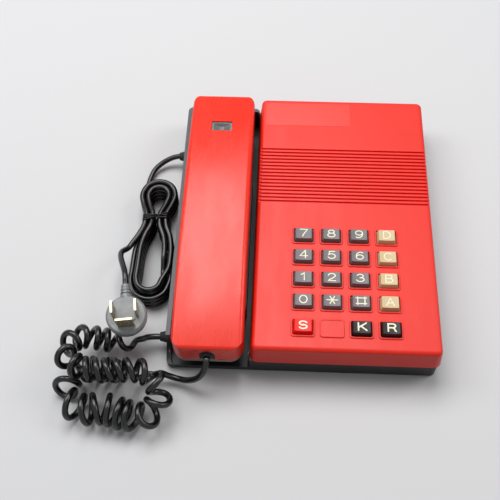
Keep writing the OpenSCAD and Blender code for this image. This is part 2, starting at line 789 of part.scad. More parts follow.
module hs_plan(grow, z0, z1) {
    block(hs_x - hs_w / 2 - grow, hs_x + hs_w / 2 + grow, hs_front - grow, hs_y + hs_l / 2 + grow,
        z0, z1, hs_corner + grow);
}

module handset_top_shell() {
    color("#e8231a")
    difference() {
        union() {
            difference() {
                intersection() {
                    arc_bar(hs_w, hs_r_low + hs_low, hs_r, hs_edge);
                    hs_plan(0, 0, 2 * hs_end_h);
                }
                intersection() {
                    arc_bar(hs_w - 2 * hs_shell, hs_r_low - 5, hs_r - hs_shell, 1.5);
                    hs_plan(-hs_shell, 0, 2 * hs_end_h);
                }
                end_round(1);
                end_round(-1);
            }
            for (y = hs_screw_y)
                tube([hs_x, y], hs_under(y) + hs_low + 1, hs_over(y) - 1, 3.5, screw_r + 0.1);
        }
        // lamp window with a bevel behind it
        translate([hs_x - lamp_w / 2, lamp_y - lamp_l / 2, hs_end_h])
            cube([lamp_w, lamp_l, 12]);
        translate([hs_x - lamp_w / 2 + 0.4, lamp_y + lamp_l / 2, hs_over(lamp_y) - 0.6])
            rotate([40, 0, 0])
                translate([0, -4, 0])
                    cube([lamp_w - 0.8, 5, 6]);
        // arched outlet for the cord sleeve
        translate([hs_x, hs_front - 1, cord_exit_z])
            rotate([-90, 0, 0])
                cylinder(r = cord_hole_r, h = hs_shell + 2);
        translate([hs_x - cord_hole_r, hs_front - 1, 0])
            cube([2 * cord_hole_r, hs_shell + 2, cord_exit_z]);
    }
}

module handset_low_shell() {
    color("#2b2b2d")
    difference() {
        union() {
            intersection() {
                arc_bar(low_w, hs_r_low, hs_r_low + hs_low - 0.1, 0.3);
                hs_plan(-0.6, 0, 2 * hs_end_h);
            }
            translate([hs_x, ear_y, cap_h])
                cylinder(r = ear_r - 0.5, h = hs_under(ear_y) - cap_h + 1);
            block(hs_x - mouth_w / 2, hs_x + mouth_w / 2, mouth_y - mouth_l / 2, mouth_y + mouth_l / 2,
                cap_h, hs_under(mouth_y) + 1, 6);
        }
        // hollow of the shell and of its two caps
        intersection() {
            arc_bar(low_w - 2 * hs_shell, hs_r_low + 2, hs_r, 0.3);
            hs_plan(-0.6 - hs_shell, 0, 2 * hs_end_h);
        }
        translate([hs_x, ear_y, cap_h + cap_floor])
            cylinder(r = ear_r - 2.5, h = 20);
        block(hs_x - mouth_w / 2 + 2, hs_x + mouth_w / 2 - 2,
            mouth_y - mouth_l / 2 + 2, mouth_y + mouth_l / 2 - 2, cap_h + cap_floor, 40, 4);
        // sound holes
        for (a = [0:60:300])
            translate([hs_x + 7 * cos(a), ear_y + 7 * sin(a), cap_h - 1])
                cylinder(r = 1.2, h = 5, $fn = 20);
        translate([hs_x, ear_y, cap_h - 1])
            cylinder(r = 1.2, h = 5, $fn = 20);
        for (x = [-6, 0, 6])
            translate([hs_x + x - 0.8, mouth_y - 4, cap_h - 1])
                cube([1.6, 8, 5]);
        for (y = hs_screw_y) {
            translate([hs_x, y, 10])
                cylinder(r = screw_r + 0.3, h = 30);
            translate([hs_x, y, 10])
                cylinder(r = 3.2, h = hs_under(y) - 9);
        }
    }
}

module earpiece_capsule() {
    color("#3a3a3e")
    translate([hs_x, ear_y, cap_h + cap_floor])
        difference() {
            cylinder(r = ear_r - 3, h = capsule_h + 1);
            translate([0, 0, capsule_h - 1])
                cylinder(r = ear_r - 6, h = 3);
        }
}

module microphone_capsule() {
    color("#3a3a3e")
    translate([hs_x, mouth_y, cap_h + cap_floor])
        cylinder(r = mic_r, h = capsule_h);
}

module handset_weight() {
    color("#7d8085")
    translate([hs_x - weight_w / 2, hs_apex_y - weight_l / 2, hs_under(hs_apex_y) + 2.02])
        cube([weight_w, weight_l, weight_t]);
}

module handset_board() {
    color("#2f6b3a") {
        translate([hs_x - hs_board_w / 2, ear_y - 10, hs_end_h - 10])
            cube([hs_board_w, hs_board_l, board_t]);
        for (x = [2 - hs_board_w / 2, hs_board_w / 2 - 2])
            translate([hs_x + x, ear_y - 7, hs_end_h - 8.4 - eps])
                cylinder(r = 1.6, h = hs_over(ear_y - 5.4) - hs_shell - 0.2 - hs_end_h + 8.4);
        translate([hs_x, lamp_y, hs_end_h - 8.4 - eps])
            cylinder(r = 2.5, h = 4);
    }
}

// clear lamp lens: a frame that fills the window with four faces sloping to a low middle
module lamp_lens() {
    z = hs_over(lamp_y + lamp_l / 2) - 3.2;
    color("#b9bec4")
    difference() {
        union() {
            translate([hs_x - lamp_w / 2 + 0.15, lamp_y - lamp_l / 2 + 0.15, z])
                cube([lamp_w - 0.3, lamp_l - 0.3, 2.4]);
            translate([hs_x - lamp_w / 2 - 1, lamp_y - lamp_l / 2 - 1, z - 1])
                cube([lamp_w + 2, lamp_l + 2, 1]);
        }
        hull() {
            translate([hs_x - lamp_w / 2 + 1, lamp_y - lamp_l / 2 + 1, z + 2.6])
                cube([lamp_w - 2, lamp_l - 2, 0.1]);
            translate([hs_x - 1.5, lamp_y - 1.5, z + 0.8])
                cube([3, 3, 0.1]);
        }
    }
}

module handset_screws() {
    color("#8d9094")
    for (y = hs_screw_y) {
        translate([hs_x, y, hs_under(y) - 0.4])
            cylinder(r = 2.7, h = 1.3);
        translate([hs_x, y, hs_under(y) - 0.4])
            cylinder(r = screw_r, h = hs_screw_l);
    }
}

// arched bushing that fills the cord outlet, with a short collar round the cord
module handset_sleeve() {
    r = cord_hole_r - 0.3;
    color("#202022") {
        translate([hs_x, sleeve_in, cord_exit_z])
            rotate([90, 0, 0]) {
                cylinder(r = r, h = sleeve_in - hs_front - 0.4);
                cylinder(r = cord_d / 2 + 1.2, h = sleeve_in - sleeve_tip);
            }
        translate([hs_x - r, hs_front + 0.4, hs_under(sleeve_in) + hs_low + 0.1])
            cube([2 * r, sleeve_in - hs_front - 0.4, cord_exit_z - hs_under(sleeve_in) - hs_low - 0.1]);
    }
}

// ---- keys ----

// one key cap, built about its own middle with z = 0 at the cover's top
module key(c, r) {
    foot_z = flange_z - top_h;
    translate([col_x + c * col_pitch, row_y(r), top_h])
        difference() {
            union() {
                tapered(-key_w / 2, key_w / 2, -key_l / 2, key_l / 2, -0.5, key_rise, key_taper, 0.6, 1.6);
                block(-key_w / 2, key_w / 2, -key_l / 2, key_l / 2, foot_z, eps - 0.5, 0.8);
                block(-flange_w / 2, flange_w / 2, -flange_l / 2, flange_l / 2, foot_z, foot_z + flange_t, 1);
            }
            translate([-4, -3.4, foot_z - 1])
                cube([8, 6.8, 5]);
            // finger dish
            translate([0, key_l, key_rise + dish_r - dish_d])
                rotate([90, 0, 0])
                    cylinder(r = dish_r, h = 2 * key_l, $fn = 180);
        }
}

module key_7() {
    color("#3a3a3c") key(0, 0);
}

module key_8() {
    color("#3a3a3c") key(1, 0);
}

module key_9() {
    color("#3a3a3c") key(2, 0);
}

module key_d() {
    color("#c9b28a") key(3, 0);
}

module key_4() {
    color("#3a3a3c") key(0, 1);
}

module key_5() {
    color("#3a3a3c") key(1, 1);
}

module key_6() {
    color("#3a3a3c") key(2, 1);
}

module key_c() {
    color("#c9b28a") key(3, 1);
}

module key_1() {
    color("#3a3a3c") key(0, 2);
}

module key_2() {
    color("#3a3a3c") key(1, 2);
}

module key_3() {
    color("#3a3a3c") key(2, 2);
}

module key_b() {
    color("#c9b28a") key(3, 2);
}

module key_0() {
    color("#3a3a3c") key(0, 3);
}

module key_star() {
    color("#3a3a3c") key(1, 3);
}

module key_hash() {
    color("#3a3a3c") key(2, 3);
}

module key_a() {
    color("#c9b28a") key(3, 3);
}

module key_s() {
    color("#e8231a") key(0, 4);
}

module key_k() {
    color("#18181a") key(2, 4);
}

module key_r() {
    color("#18181a") key(3, 4);
}

// ---- cord nodes ----

module curly_lead_handset() {
    color("#151516")
        lead(handset_lead, cord_d, [1, 0, 0]);
}

module curly_coil() {
    color("#151516")
        cord(curl_all, curl_sides, cord_d / 2, 6);
}

module curly_lead_base() {
    color("#151516")
        lead(base_curly_lead, cord_d, [0, 0, 1]);
}

module line_lead_base() {
    color("#151516")
        lead(base_line_lead, line_d, [0, 0, 1]);
}

module line_hank() {
    color("#151516")
        cord(hank_all, [for (p = hank_all) [0, 0, 1]], line_d / 2, 6);
}

// frame of the plug, face towards its own +Z
module plug_place() {
    translate(plug_pos)
        rotate([plug_tilt, 0, plug_turn])
            children();
}

module line_lead_plug() {
    color("#151516")
        lead(plug_lead, line_d, [0, 0, 1]);
}

// three turns of thin wire tie round the waist of the hank
module hank_tie() {
    half = 2 * hank_pitch + 0.4;
    roof = hank_z + 3.5 * hank_pitch + tie_t + 0.3;
    color("#1d1d1f")
    for (i = [-1:1])
        translate([hank_x, hank_waist + i * 2.2 + 0.9, 0])
            rotate([90, 0, 0])
                linear_extrude(1.8)
                    difference() {
                        plan(-half - tie_t, half + tie_t, 0.02, roof + tie_t, 3);
                        plan(-half, half, 0.02 + tie_t, roof, 2.2);
                    }
}

module plug_body() {
    color("#8f9296")
    plug_place()
        difference() {
            union() {
                translate([0, 0, -plug_t])
                    cylinder(r1 = plug_dia / 2 - 2, r2 = plug_dia / 2, h = 3);
                translate([0, 0, 3 - plug_t - eps])
                    cylinder(r = plug_dia / 2, h = plug_t - 3 - plug_rim + eps);
                translate([0, 0, -plug_rim])
                    cylinder(r1 = plug_dia / 2, r2 = plug_dia / 2 - plug_rim, h = plug_rim);
                block(-6, 6, -4.5, plug_dia / 2 - 4.5, -eps, 1.6, 1.5);
                translate([0, plug_dia / 2 - 3, neck_z])
                    rotate([-90, 0, 0])
                        cylinder(r1 = 4.4, r2 = line_d / 2 + 0.9, h = neck_l + 3);
            }
            translate([0, neck_y - 3, neck_z])
                rotate([-90, 0, 0])
                    cylinder(r = line_d / 2 + 0.15, h = 5);
            // bend grooves round the neck
            for (i = [0:2])
                translate([0, plug_dia / 2 + 1.8 + i * 2.2, neck_z])
                    rotate([-90, 0, 0])
                        difference() {
                            cylinder(r = 6, h = 1);
                            translate([0, 0, -1])
                                cylinder(r = line_d / 2 + 0.9, h = 3);
                        }
        }
}

module plug_blades() {
    color("#c7bfa6")
    plug_place() {
        for (x = [-8.4, 7])
            translate([x, -2.5, 0])
                cube([1.4, 8, blade_l]);
        translate([-5.5, -8.4, 0])
            cube([11, 1.4, blade_l]);
    }
}

// ---- show all or one ----

base_tray();
top_cover();
rubber_feet();
case_screws();
main_board();
line_transformer();
board_parts();
keypad_board();
keypad_mat();
ribbon_cable();
ringer_sounder();
hook_switch_body();
hook_plunger();
number_card();
card_window();
curly_grommet();
line_grommet();
handset_top_shell();
handset_low_shell();
earpiece_capsule();
microphone_capsule();
handset_weight();
handset_board();
lamp_lens();
handset_screws();
handset_sleeve();
key_7();
key_8();
key_9();
key_d();
key_4();
key_5();
key_6();
key_c();
key_1();
key_2();
key_3();
key_b();
key_0();
key_star();
key_hash();
key_a();
key_s();
key_k();
key_r();
curly_lead_handset();
curly_coil();
curly_lead_base();
line_lead_base();
line_hank();
line_lead_plug();
hank_tie();
plug_body();
plug_blades();
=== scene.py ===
import math

import bmesh
import bpy
import numpy as np
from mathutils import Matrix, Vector


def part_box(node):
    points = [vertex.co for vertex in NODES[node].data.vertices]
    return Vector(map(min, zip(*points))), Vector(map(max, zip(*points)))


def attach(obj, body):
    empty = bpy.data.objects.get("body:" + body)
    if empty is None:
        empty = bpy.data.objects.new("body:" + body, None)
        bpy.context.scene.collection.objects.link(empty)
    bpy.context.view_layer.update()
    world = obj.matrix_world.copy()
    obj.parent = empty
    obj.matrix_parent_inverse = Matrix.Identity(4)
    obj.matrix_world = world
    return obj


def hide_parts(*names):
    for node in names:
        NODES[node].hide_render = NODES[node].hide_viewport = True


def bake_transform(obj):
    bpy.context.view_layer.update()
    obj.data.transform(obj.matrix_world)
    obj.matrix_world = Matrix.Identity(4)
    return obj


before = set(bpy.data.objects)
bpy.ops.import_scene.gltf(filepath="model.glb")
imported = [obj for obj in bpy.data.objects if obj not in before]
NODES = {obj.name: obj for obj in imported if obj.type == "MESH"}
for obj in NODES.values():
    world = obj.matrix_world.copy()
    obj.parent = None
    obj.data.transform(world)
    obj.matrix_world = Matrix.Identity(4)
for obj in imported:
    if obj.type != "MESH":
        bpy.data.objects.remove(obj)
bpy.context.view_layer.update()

# ---------------------------------------------------------------- camera

camera = bpy.data.objects.new("camera", bpy.data.cameras.new("camera"))
bpy.context.scene.collection.objects.link(camera)
camera.location = (-0.01996, -0.31326, 0.5030)
camera.rotation_euler = [math.radians(a) for a in (31.069, 0.648, 2.355)]
camera.data.sensor_width = 36
camera.data.lens = 57.6
camera.data.clip_start = 0.01
bpy.context.scene.camera = camera
bpy.context.scene.view_settings.view_transform = "Standard"


# ---------------------------------------------------------------- small tools

def tint(code):
    """An sRGB hex value as the linear colour that a shader socket takes."""
    parts = [int(code[i:i + 2], 16) / 255 for i in (1, 3, 5)]
    return tuple(p / 12.92 if p <= 0.04045 else ((p + 0.055) / 1.055) ** 2.4 for p in parts) + (1.0,)


def add(tree, kind, values=None, links=None, **settings):
    """One node with its settings, its sockets' own values and the links into it."""
    made = tree.nodes.new(kind)
    for name, value in settings.items():
        setattr(made, name, value)
    for socket, value in (values or {}).items():
        made.inputs[socket].default_value = value
    for socket, source in (links or {}).items():
        tree.links.new(source, made.inputs[socket])
    return made


def piece(name, verts, faces, material, body, smooth=True):
    """A mesh piece whose place is in its vertices, in metres, riding on a body."""
    mesh = bpy.data.meshes.new(name)
    mesh.from_pydata([tuple(v) for v in verts], [], faces)
    mesh.validate()
    mesh.update()
    made = bpy.data.objects.new(name, mesh)
    bpy.context.scene.collection.objects.link(made)
    if smooth:
        mesh.polygons.foreach_set("use_smooth", [True] * len(mesh.polygons))
    mesh.materials.append(material)
    if body:
        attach(made, body)
    return made


def outward(made):
    """Turns the faces of a closed mesh outwards."""
    work = bmesh.new()
    work.from_mesh(made.data)
    bmesh.ops.remove_doubles(work, verts=work.verts, dist=1e-7)
    bmesh.ops.recalc_face_normals(work, faces=work.faces)
    work.to_mesh(made.data)
    work.free()
    return made


# ---------------------------------------------------------------- cord routes, in millimetres

def vec(*v):
    return np.array(v, float)


def unit(v):
    return v / np.linalg.norm(v)


def bend(p0, p1, p2, p3, t):
    """A point of the smooth curve from p1 to p2, which comes from p0 and goes on to p3."""
    return 0.5 * (2 * p1 + (p2 - p0) * t + (2 * p0 - 5 * p1 + 4 * p2 - p3) * t * t
                  + (3 * p1 - p0 - 3 * p2 + p3) * t ** 3)


def along(points, share):
    """The smooth curve through the points, at a share of its knots from 0 to 1."""
    last = len(points) - 1
    i = min(int(share * last), last - 1)
    before = points[i - 1] if i else 2 * points[0] - points[1]
    after = points[i + 2] if i + 2 <= last else 2 * points[last] - points[last - 1]
    return bend(before, points[i], points[i + 1], after, share * last - i)


# the tray's left wall and the diameters of the two cords
LEFT = -90.5
CURLY_D, LINE_D = 4.2, 4.0

# handset cord: a helix about the heap's axis, with its radius, height, step and tightest bend
CURL_R, CURL_Z, CURL_STEP, TIGHTEST = 6.4, 9.0, 5.2, 5.7
# at both ends it grows from nothing over this length, as this power of it
CLOSE_IN, CLOSE_POWER = 26, 1.3
# steps of the axis, steps that its turning is averaged over, and points on a curl
AXIS_STEPS, TURNING_SPREAD, CURL_POINTS = 3000, 150, 16
# its step as a share of CURL_STEP: the mean, a slow wave along the heap, and what the swelling takes off
STEP_MEAN, STEP_WAVE, STEP_WAVE_L, STEP_SWELL = 1.12, 0.07, 21, 0.42
# room that the curls need on the inner side of a turn, more where they swell, and the least that they get
TURN_ROOM, TURN_SWELL, TURN_LEAST = 1.15, 1.8, 0.25
# swelling of the curls inwards, and by a share of that upwards, round one point of the heap's front
SWELL, SWELL_UP, SWELL_L, FRONT_POINT = 0.42, 0.5, 36, 7
# their leaning to and fro along the heap
LEAN, LEAN_L = 0.25, 17
HEAP = [vec(x, y, CURL_Z + rise) for x, y, rise in (
    (-97, -114, 0), (-110, -115, 0), (-123, -113, 0), (-138, -111, 0), (-151, -117, 0), (-155, -132, 0),
    (-142, -142, 0), (-127, -142, 0), (-113, -145, 0), (-98, -145, 3), (-90, -132, 10), (-99, -120, 16),
    (-114, -119, 18.5), (-129, -120, 18.5), (-144, -118, 19), (-154, -107, 18), (-147, -94, 11),
    (-132, -92, 4), (-118, -94, 1), (-105, -88, 1))]
COIL_IN, COIL_OUT = vec(-92, -113, CURL_Z), vec(-100, -87.3, CURL_Z + 1)
SLEEVE_TIP = vec(-61.5, -109.22, 29)


def curls():
    """Points of the helix: close curls where its axis runs straight, open ones where it turns."""
    axis = np.array([along(HEAP, k / AXIS_STEPS) for k in range(AXIS_STEPS + 1)])
    pace = np.linalg.norm(np.gradient(axis, axis=0), axis=1)
    way = np.gradient(axis, axis=0) / pace[:, None]
    turning = np.linalg.norm(np.gradient(way, axis=0), axis=1) / pace
    turning = np.convolve(turning, np.ones(TURNING_SPREAD) / TURNING_SPREAD, "same")
    run = np.cumsum(pace)
    front = run[round(AXIS_STEPS * FRONT_POINT / (len(HEAP) - 1))]
    swell = SWELL * np.exp(-((run - front) / SWELL_L) ** 2)
    radius = CURL_R * np.clip(np.minimum(run, run[-1] - run) / CLOSE_IN, 0, 1) ** CLOSE_POWER

    # the step opens where a turn would crowd the curls, and where they are too small to lie close
    step = CURL_STEP * (STEP_MEAN + STEP_WAVE * np.sin(run / STEP_WAVE_L) - STEP_SWELL * swell)
    step = step / np.maximum(1 - TURN_ROOM * CURL_R * (1 + TURN_SWELL * swell) * turning, TURN_LEAST)
    step = np.maximum(step, 2 * math.pi * np.sqrt(np.maximum(radius * (TIGHTEST - radius), 0)))
    turns = np.cumsum(pace / step)

    angle = 2 * math.pi * turns
    inward = np.cos(angle) * (1 + swell) + swell
    upward = np.sin(angle) * (1 + SWELL_UP * swell) + SWELL_UP * swell
    onward = LEAN * np.sin(run / LEAN_L) * np.cos(angle)
    inward, upward, onward, radius = (v[:, None] for v in (inward, upward, onward, radius))
    side = np.cross((0, 0, 1), way)
    side /= np.linalg.norm(side, axis=1)[:, None]
    points = axis + radius * (inward * side + upward * np.cross(way, side) + onward * way)
    marks = np.linspace(0.02, turns[-1] - 0.02, round(turns[-1] * CURL_POINTS))
    return list(np.column_stack([np.interp(marks, turns, points[:, i]) for i in range(3)]))


CURLY_ROUTE = ([SLEEVE_TIP, SLEEVE_TIP - vec(0.1, 3.5, 0.4), vec(-63, -117, 25), vec(-67.5, -119, 17.5),
                vec(-74.5, -118, 10.5), vec(-82, -115.5, 7), vec(-88.5, -113.8, 7.6), COIL_IN]
               + curls() + [COIL_OUT, vec(LEFT - 5.5, -87.1, 10), vec(LEFT - 2, -87, 10)])

# line cord: a hank of loops two abreast and four high, wider towards its front and drawn in at its waist
HANK_X, HANK_FRONT, HANK_REAR, HANK_Z, PITCH = LEFT - 16.5, -46, 25, 2.2, 4.6
HALF_FRONT, HALF_REAR, WAIST_Y, WAIST_L, TIE_T = 9, 8, 4, 13, 0.8
LOOPS, RUN_STEPS, FOLD_STEPS = 8, 8, 4
LOOP_STEPS = 2 * (RUN_STEPS + FOLD_STEPS)
# the place of each loop, in pitches across and up
PLACES = [vec(*p) for p in ((1, 0), (0, 0), (0, 1), (1, 1), (1, 2), (0, 2), (0, 3), (1, 3))]
# the right-hand run counts as SHIFTS, and a loop moves over to its place within SHIFT_L of them
SHIFTS, SHIFT_L = 8.4, 1.4


def eased(v):
    """A smooth step from 0 to 1."""
    v = min(max(v, 0), 1)
    return v * v * (3 - 2 * v)


def place_on_run(m, share):
    """The place of loop m at a share of its right-hand run, each later loop moving over nearer the front."""
    w = eased((share * SHIFTS - (LOOPS - 1 - m)) / SHIFT_L)
    return PLACES[0] if m == 0 else PLACES[m - 1] * (1 - w) + PLACES[m] * w


def waist(y):
    """1 under the tie, fading to 0 on both sides of it."""
    return math.exp(-((y - WAIST_Y) / WAIST_L) ** 2)


def half_at(y):
    """Half the gap between the hank's two innermost runs."""
    f = (y - HANK_FRONT) / (HANK_REAR - HANK_FRONT)
    return (HALF_FRONT * (1 - f) + HALF_REAR * f) * (1 - waist(y)) + 0.5 * PITCH * waist(y)


def run_at(side, y, place):
    return vec(HANK_X + side * (half_at(y) + place[0] * PITCH), y,
               HANK_Z + place[1] * PITCH + TIE_T * waist(y) ** 2)


def fold_at(y, angle, place):
    r, a = half_at(y) + place[0] * PITCH, math.radians(angle)
    return vec(HANK_X + r * math.cos(a), y + r * math.sin(a), HANK_Z + place[1] * PITCH)


def hank_at(n):
    """Point n of the hank: a loop runs back on the right, round the rear, forward on the left and round."""
    m, k, length = n // LOOP_STEPS, n % LOOP_STEPS, HANK_REAR - HANK_FRONT
    if k < RUN_STEPS:
        return run_at(1, HANK_FRONT + length * k / RUN_STEPS, place_on_run(m, k / RUN_STEPS))
    k -= RUN_STEPS
    if k < FOLD_STEPS:
        return fold_at(HANK_REAR, 180 * k / FOLD_STEPS, PLACES[m])
    k -= FOLD_STEPS
    if k < RUN_STEPS:
        return run_at(-1, HANK_REAR - length * k / RUN_STEPS, PLACES[m])
    return fold_at(HANK_FRONT, 180 + 180 * (k - RUN_STEPS) / FOLD_STEPS, PLACES[m])


# the plug lies on the cords: the middle of its face, its tilt and turn, and its own sizes
PLUG_POS, PLUG_TILT, PLUG_TURN = vec(LEFT - 25.9, -82.2, 32), math.radians(8), math.radians(8)
PLUG_R, PLUG_T, NECK_L, NECK_IN = 13.5, 9, 9, 2.5
NECK_Y, NECK_Z = PLUG_R + NECK_L, -PLUG_T / 2


def plug_point(x, y, z):
    """A point of the plug's own frame, its face towards +Z, in the part's frame."""
    ct, st, cr, sr = math.cos(PLUG_TILT), math.sin(PLUG_TILT), math.cos(PLUG_TURN), math.sin(PLUG_TURN)
    y, z = y * ct - z * st, y * st + z * ct
    return PLUG_POS + vec(x * cr - y * sr, x * sr + y * cr, z)


# the hank begins with its first left-hand run and ends half way along its last one
hank_first, hank_last = RUN_STEPS + FOLD_STEPS, LOOPS * LOOP_STEPS - FOLD_STEPS - RUN_STEPS // 2
hank = [hank_at(n) for n in range(hank_first, hank_last + 1)]
hank_start = hank[0] + vec(0, 2 * LINE_D, 0)
hank_way = unit(hank[-1] - hank[-2] - vec(1.5, 0, 0))
hank_end = hank[-1] + 2 * LINE_D * hank_way
plug_way = plug_point(0, -1, 0) - PLUG_POS
plug_end = plug_point(0, NECK_Y - NECK_IN, NECK_Z)
LINE_ROUTE = ([vec(LEFT - 2, 66, 10), vec(LEFT - 2 - LINE_D, 66, 10), vec(LEFT - 14, 65, 7),
               vec(LEFT - 24, 57, 4), hank_start + vec(0, LINE_D, 0), hank_start]
              + hank + [hank_end, hank_end + LINE_D * hank_way, hank_end + 12 * hank_way + vec(0, 0, 5),
                        plug_point(0, NECK_Y + 8, NECK_Z), plug_end - LINE_D * plug_way, plug_end])

# steps between two points of a route, and the distance below which two points are one
SPAN_STEPS, SAME_SPOT = 8, 0.05


def evened(points, step):
    """The smooth curve through unevenly spaced points, cut to equal steps, and its length."""
    spots = np.array([p for i, p in enumerate(points)
                      if i == 0 or np.linalg.norm(p - points[i - 1]) > SAME_SPOT])
    spots = np.vstack((2 * spots[0] - spots[1], spots, 2 * spots[-1] - spots[-2]))
    gap = np.sqrt(np.linalg.norm(np.diff(spots, axis=0), axis=1))[:, None]
    rate = np.diff(spots, axis=0) / gap
    slope = rate[:-1] + rate[1:] - (spots[2:] - spots[:-2]) / (gap[:-1] + gap[1:])
    a, b, m, n = spots[1:-2], spots[2:-1], slope[:-1] * gap[1:-1], slope[1:] * gap[1:-1]
    share = (np.arange(SPAN_STEPS) / SPAN_STEPS)[None, :, None]
    a, b, m, n = (v[:, None, :] for v in (a, b, m, n))
    fine = a + m * share + (3 * (b - a) - 2 * m - n) * share ** 2 + (2 * (a - b) + m + n) * share ** 3
    fine = np.vstack((fine.reshape(-1, 3), spots[-2]))
    run = np.concatenate(([0], np.cumsum(np.linalg.norm(np.diff(fine, axis=0), axis=1))))
    marks = np.linspace(0, run[-1], max(2, round(run[-1] / step)) + 1)
    return np.column_stack([np.interp(marks, run, fine[:, i]) for i in range(3)]), run[-1]


def tube(name, route, radius, sides, material, body):
    """A closed round tube along the route, with its length and girth as a UV map in millimetres."""
    ways = np.gradient(route, axis=0)
    ways /= np.linalg.norm(ways, axis=1)[:, None]
    side = unit(np.cross(ways[0], (0.3, 0.2, 1)))
    verts, faces = [], []
    for i, (p, way) in enumerate(zip(route, ways)):
        side = unit(side - way * (side @ way))
        up = np.cross(way, side)
        for k in range(sides):
            a = 2 * math.pi * k / sides
            verts.append((p + radius * (math.cos(a) * side + math.sin(a) * up)) / 1000)
    for i in range(len(route) - 1):
        for k in range(sides):
            a, b = i * sides + k, i * sides + (k + 1) % sides
            faces.append((a, b, b + sides, a + sides))
    last = (len(route) - 1) * sides
    faces += [tuple(range(sides - 1, -1, -1)), tuple(range(last, last + sides))]
    made = piece(name, verts, faces, material, body)
    layer = made.data.uv_layers.new(name="run")
    run = np.concatenate(([0], np.cumsum(np.linalg.norm(np.diff(route, axis=0), axis=1))))
    for poly in made.data.polygons:
        seam = any(made.data.loops[i].vertex_index % sides == sides - 1 for i in poly.loop_indices)
        for i in poly.loop_indices:
            v = made.data.loops[i].vertex_index
            k = sides if seam and v % sides == 0 else v % sides
            layer.data[i].uv = (run[v // sides], k * 2 * math.pi * radius / sides)
    return made


# ---------------------------------------------------------------- finishes

# a Mix node's colours are its inputs 6 and 7 and its output 2

def material(name):
    """A new material with an empty tree."""
    made = bpy.data.materials.new(name)
    made.use_nodes = True
    made.node_tree.nodes.clear()
    return made, made.node_tree


def moulded(name, base, shade, light, rough, grain_mm, grain_depth, wear=0.0, patch_mm=30, ior=1.53,
            smear=0.06, shaded_by=None, drawn=False):
    """Moulded plastic: a slow mottle between two near colours, rubbed lighter patches, a fine spark grain.

    rough is its roughness, which smear raises and lowers from patch to patch.
    A shading function, if given, takes the tree and the place, and gives how far a second colour covers a
    spot as painted shade, and that colour.
    drawn is for a cord: the pattern follows its run and girth, which its UV map has in millimetres."""
    made, tree = material(name)
    if drawn:
        run = add(tree, "ShaderNodeUVMap", uv_map="run").outputs[0]
        place = add(tree, "ShaderNodeMapping", {"Scale": (0.001, 0.001, 0.001)}, {"Vector": run}).outputs[0]
    else:
        place = add(tree, "ShaderNodeTexCoord").outputs["Object"]
    mottle = add(tree, "ShaderNodeTexNoise", {"Scale": 1000 / patch_mm, "Detail": 3, "Roughness": 0.55},
                 {"Vector": place})
    mixed = add(tree, "ShaderNodeMix", {6: tint(shade), 7: tint(base)},
                {"Factor": mottle.outputs["Fac"]}, data_type="RGBA")
    stretch = add(tree, "ShaderNodeMapping", {"Scale": (1.0, 0.25, 1.0), "Rotation": (0, 0, 0.35)},
                  {"Vector": place})
    rubbed = add(tree, "ShaderNodeTexNoise",
                 {"Scale": 1000 / (patch_mm * 0.35), "Detail": 7, "Roughness": 0.7},
                 {"Vector": stretch.outputs[0]})
    where = add(tree, "ShaderNodeMapRange", {1: 0.58, 2: 0.80, 3: 0.0, 4: wear}, {0: rubbed.outputs["Fac"]})
    worn_and_shaded = add(tree, "ShaderNodeMix", {7: tint(light)},
               {"Factor": where.outputs[0], 6: mixed.outputs[2]}, data_type="RGBA")
    # painted shade: a second colour laid over the first where a shading function is given
    if shaded_by:
        cover, colour = shaded_by(tree, place)
        worn_and_shaded = add(tree, "ShaderNodeMix", {7: tint(colour)},
                   {"Factor": cover, 6: worn_and_shaded.outputs[2]}, data_type="RGBA")
    gloss = add(tree, "ShaderNodeMapRange", {1: 0.3, 2: 0.7, 3: rough - smear, 4: rough + smear},
                {0: rubbed.outputs["Fac"]})
    grain = add(tree, "ShaderNodeTexNoise", {"Scale": 1000 / grain_mm, "Detail": 2, "Roughness": 0.6},
                {"Vector": place})
    bump = add(tree, "ShaderNodeBump", {"Strength": 0.5, "Distance": grain_depth / 1000},
               {"Height": grain.outputs["Fac"]})
    shader = add(tree, "ShaderNodeBsdfPrincipled", {"IOR": ior},
                 {"Base Color": worn_and_shaded.outputs[2], "Roughness": gloss.outputs[0], "Normal": bump.outputs[0]})
    add(tree, "ShaderNodeOutputMaterial", None, {"Surface": shader.outputs[0]})
    return made


def clear_plastic(name, colour, deep, rough, through, ior, grain_mm):
    """Tinted clear plastic with faint flow marks."""
    made, tree = material(name)
    place = add(tree, "ShaderNodeTexCoord").outputs["Object"]
    flow = add(tree, "ShaderNodeTexNoise", {"Scale": 1000 / grain_mm, "Detail": 4, "Distortion": 0.6},
               {"Vector": place})
    mixed = add(tree, "ShaderNodeMix", {6: tint(colour), 7: tint(deep)},
                {"Factor": flow.outputs["Fac"]}, data_type="RGBA")
    gloss = add(tree, "ShaderNodeMapRange", {1: 0.2, 2: 0.8, 3: rough - 0.03, 4: rough + 0.05},
                {0: flow.outputs["Fac"]})
    bump = add(tree, "ShaderNodeBump", {"Strength": 0.25, "Distance": 0.0001},
               {"Height": flow.outputs["Fac"]})
    shader = add(tree, "ShaderNodeBsdfPrincipled", {"IOR": ior, "Transmission Weight": through},
                 {"Base Color": mixed.outputs[2], "Roughness": gloss.outputs[0], "Normal": bump.outputs[0]})
    add(tree, "ShaderNodeOutputMaterial", None, {"Surface": shader.outputs[0]})
    return made


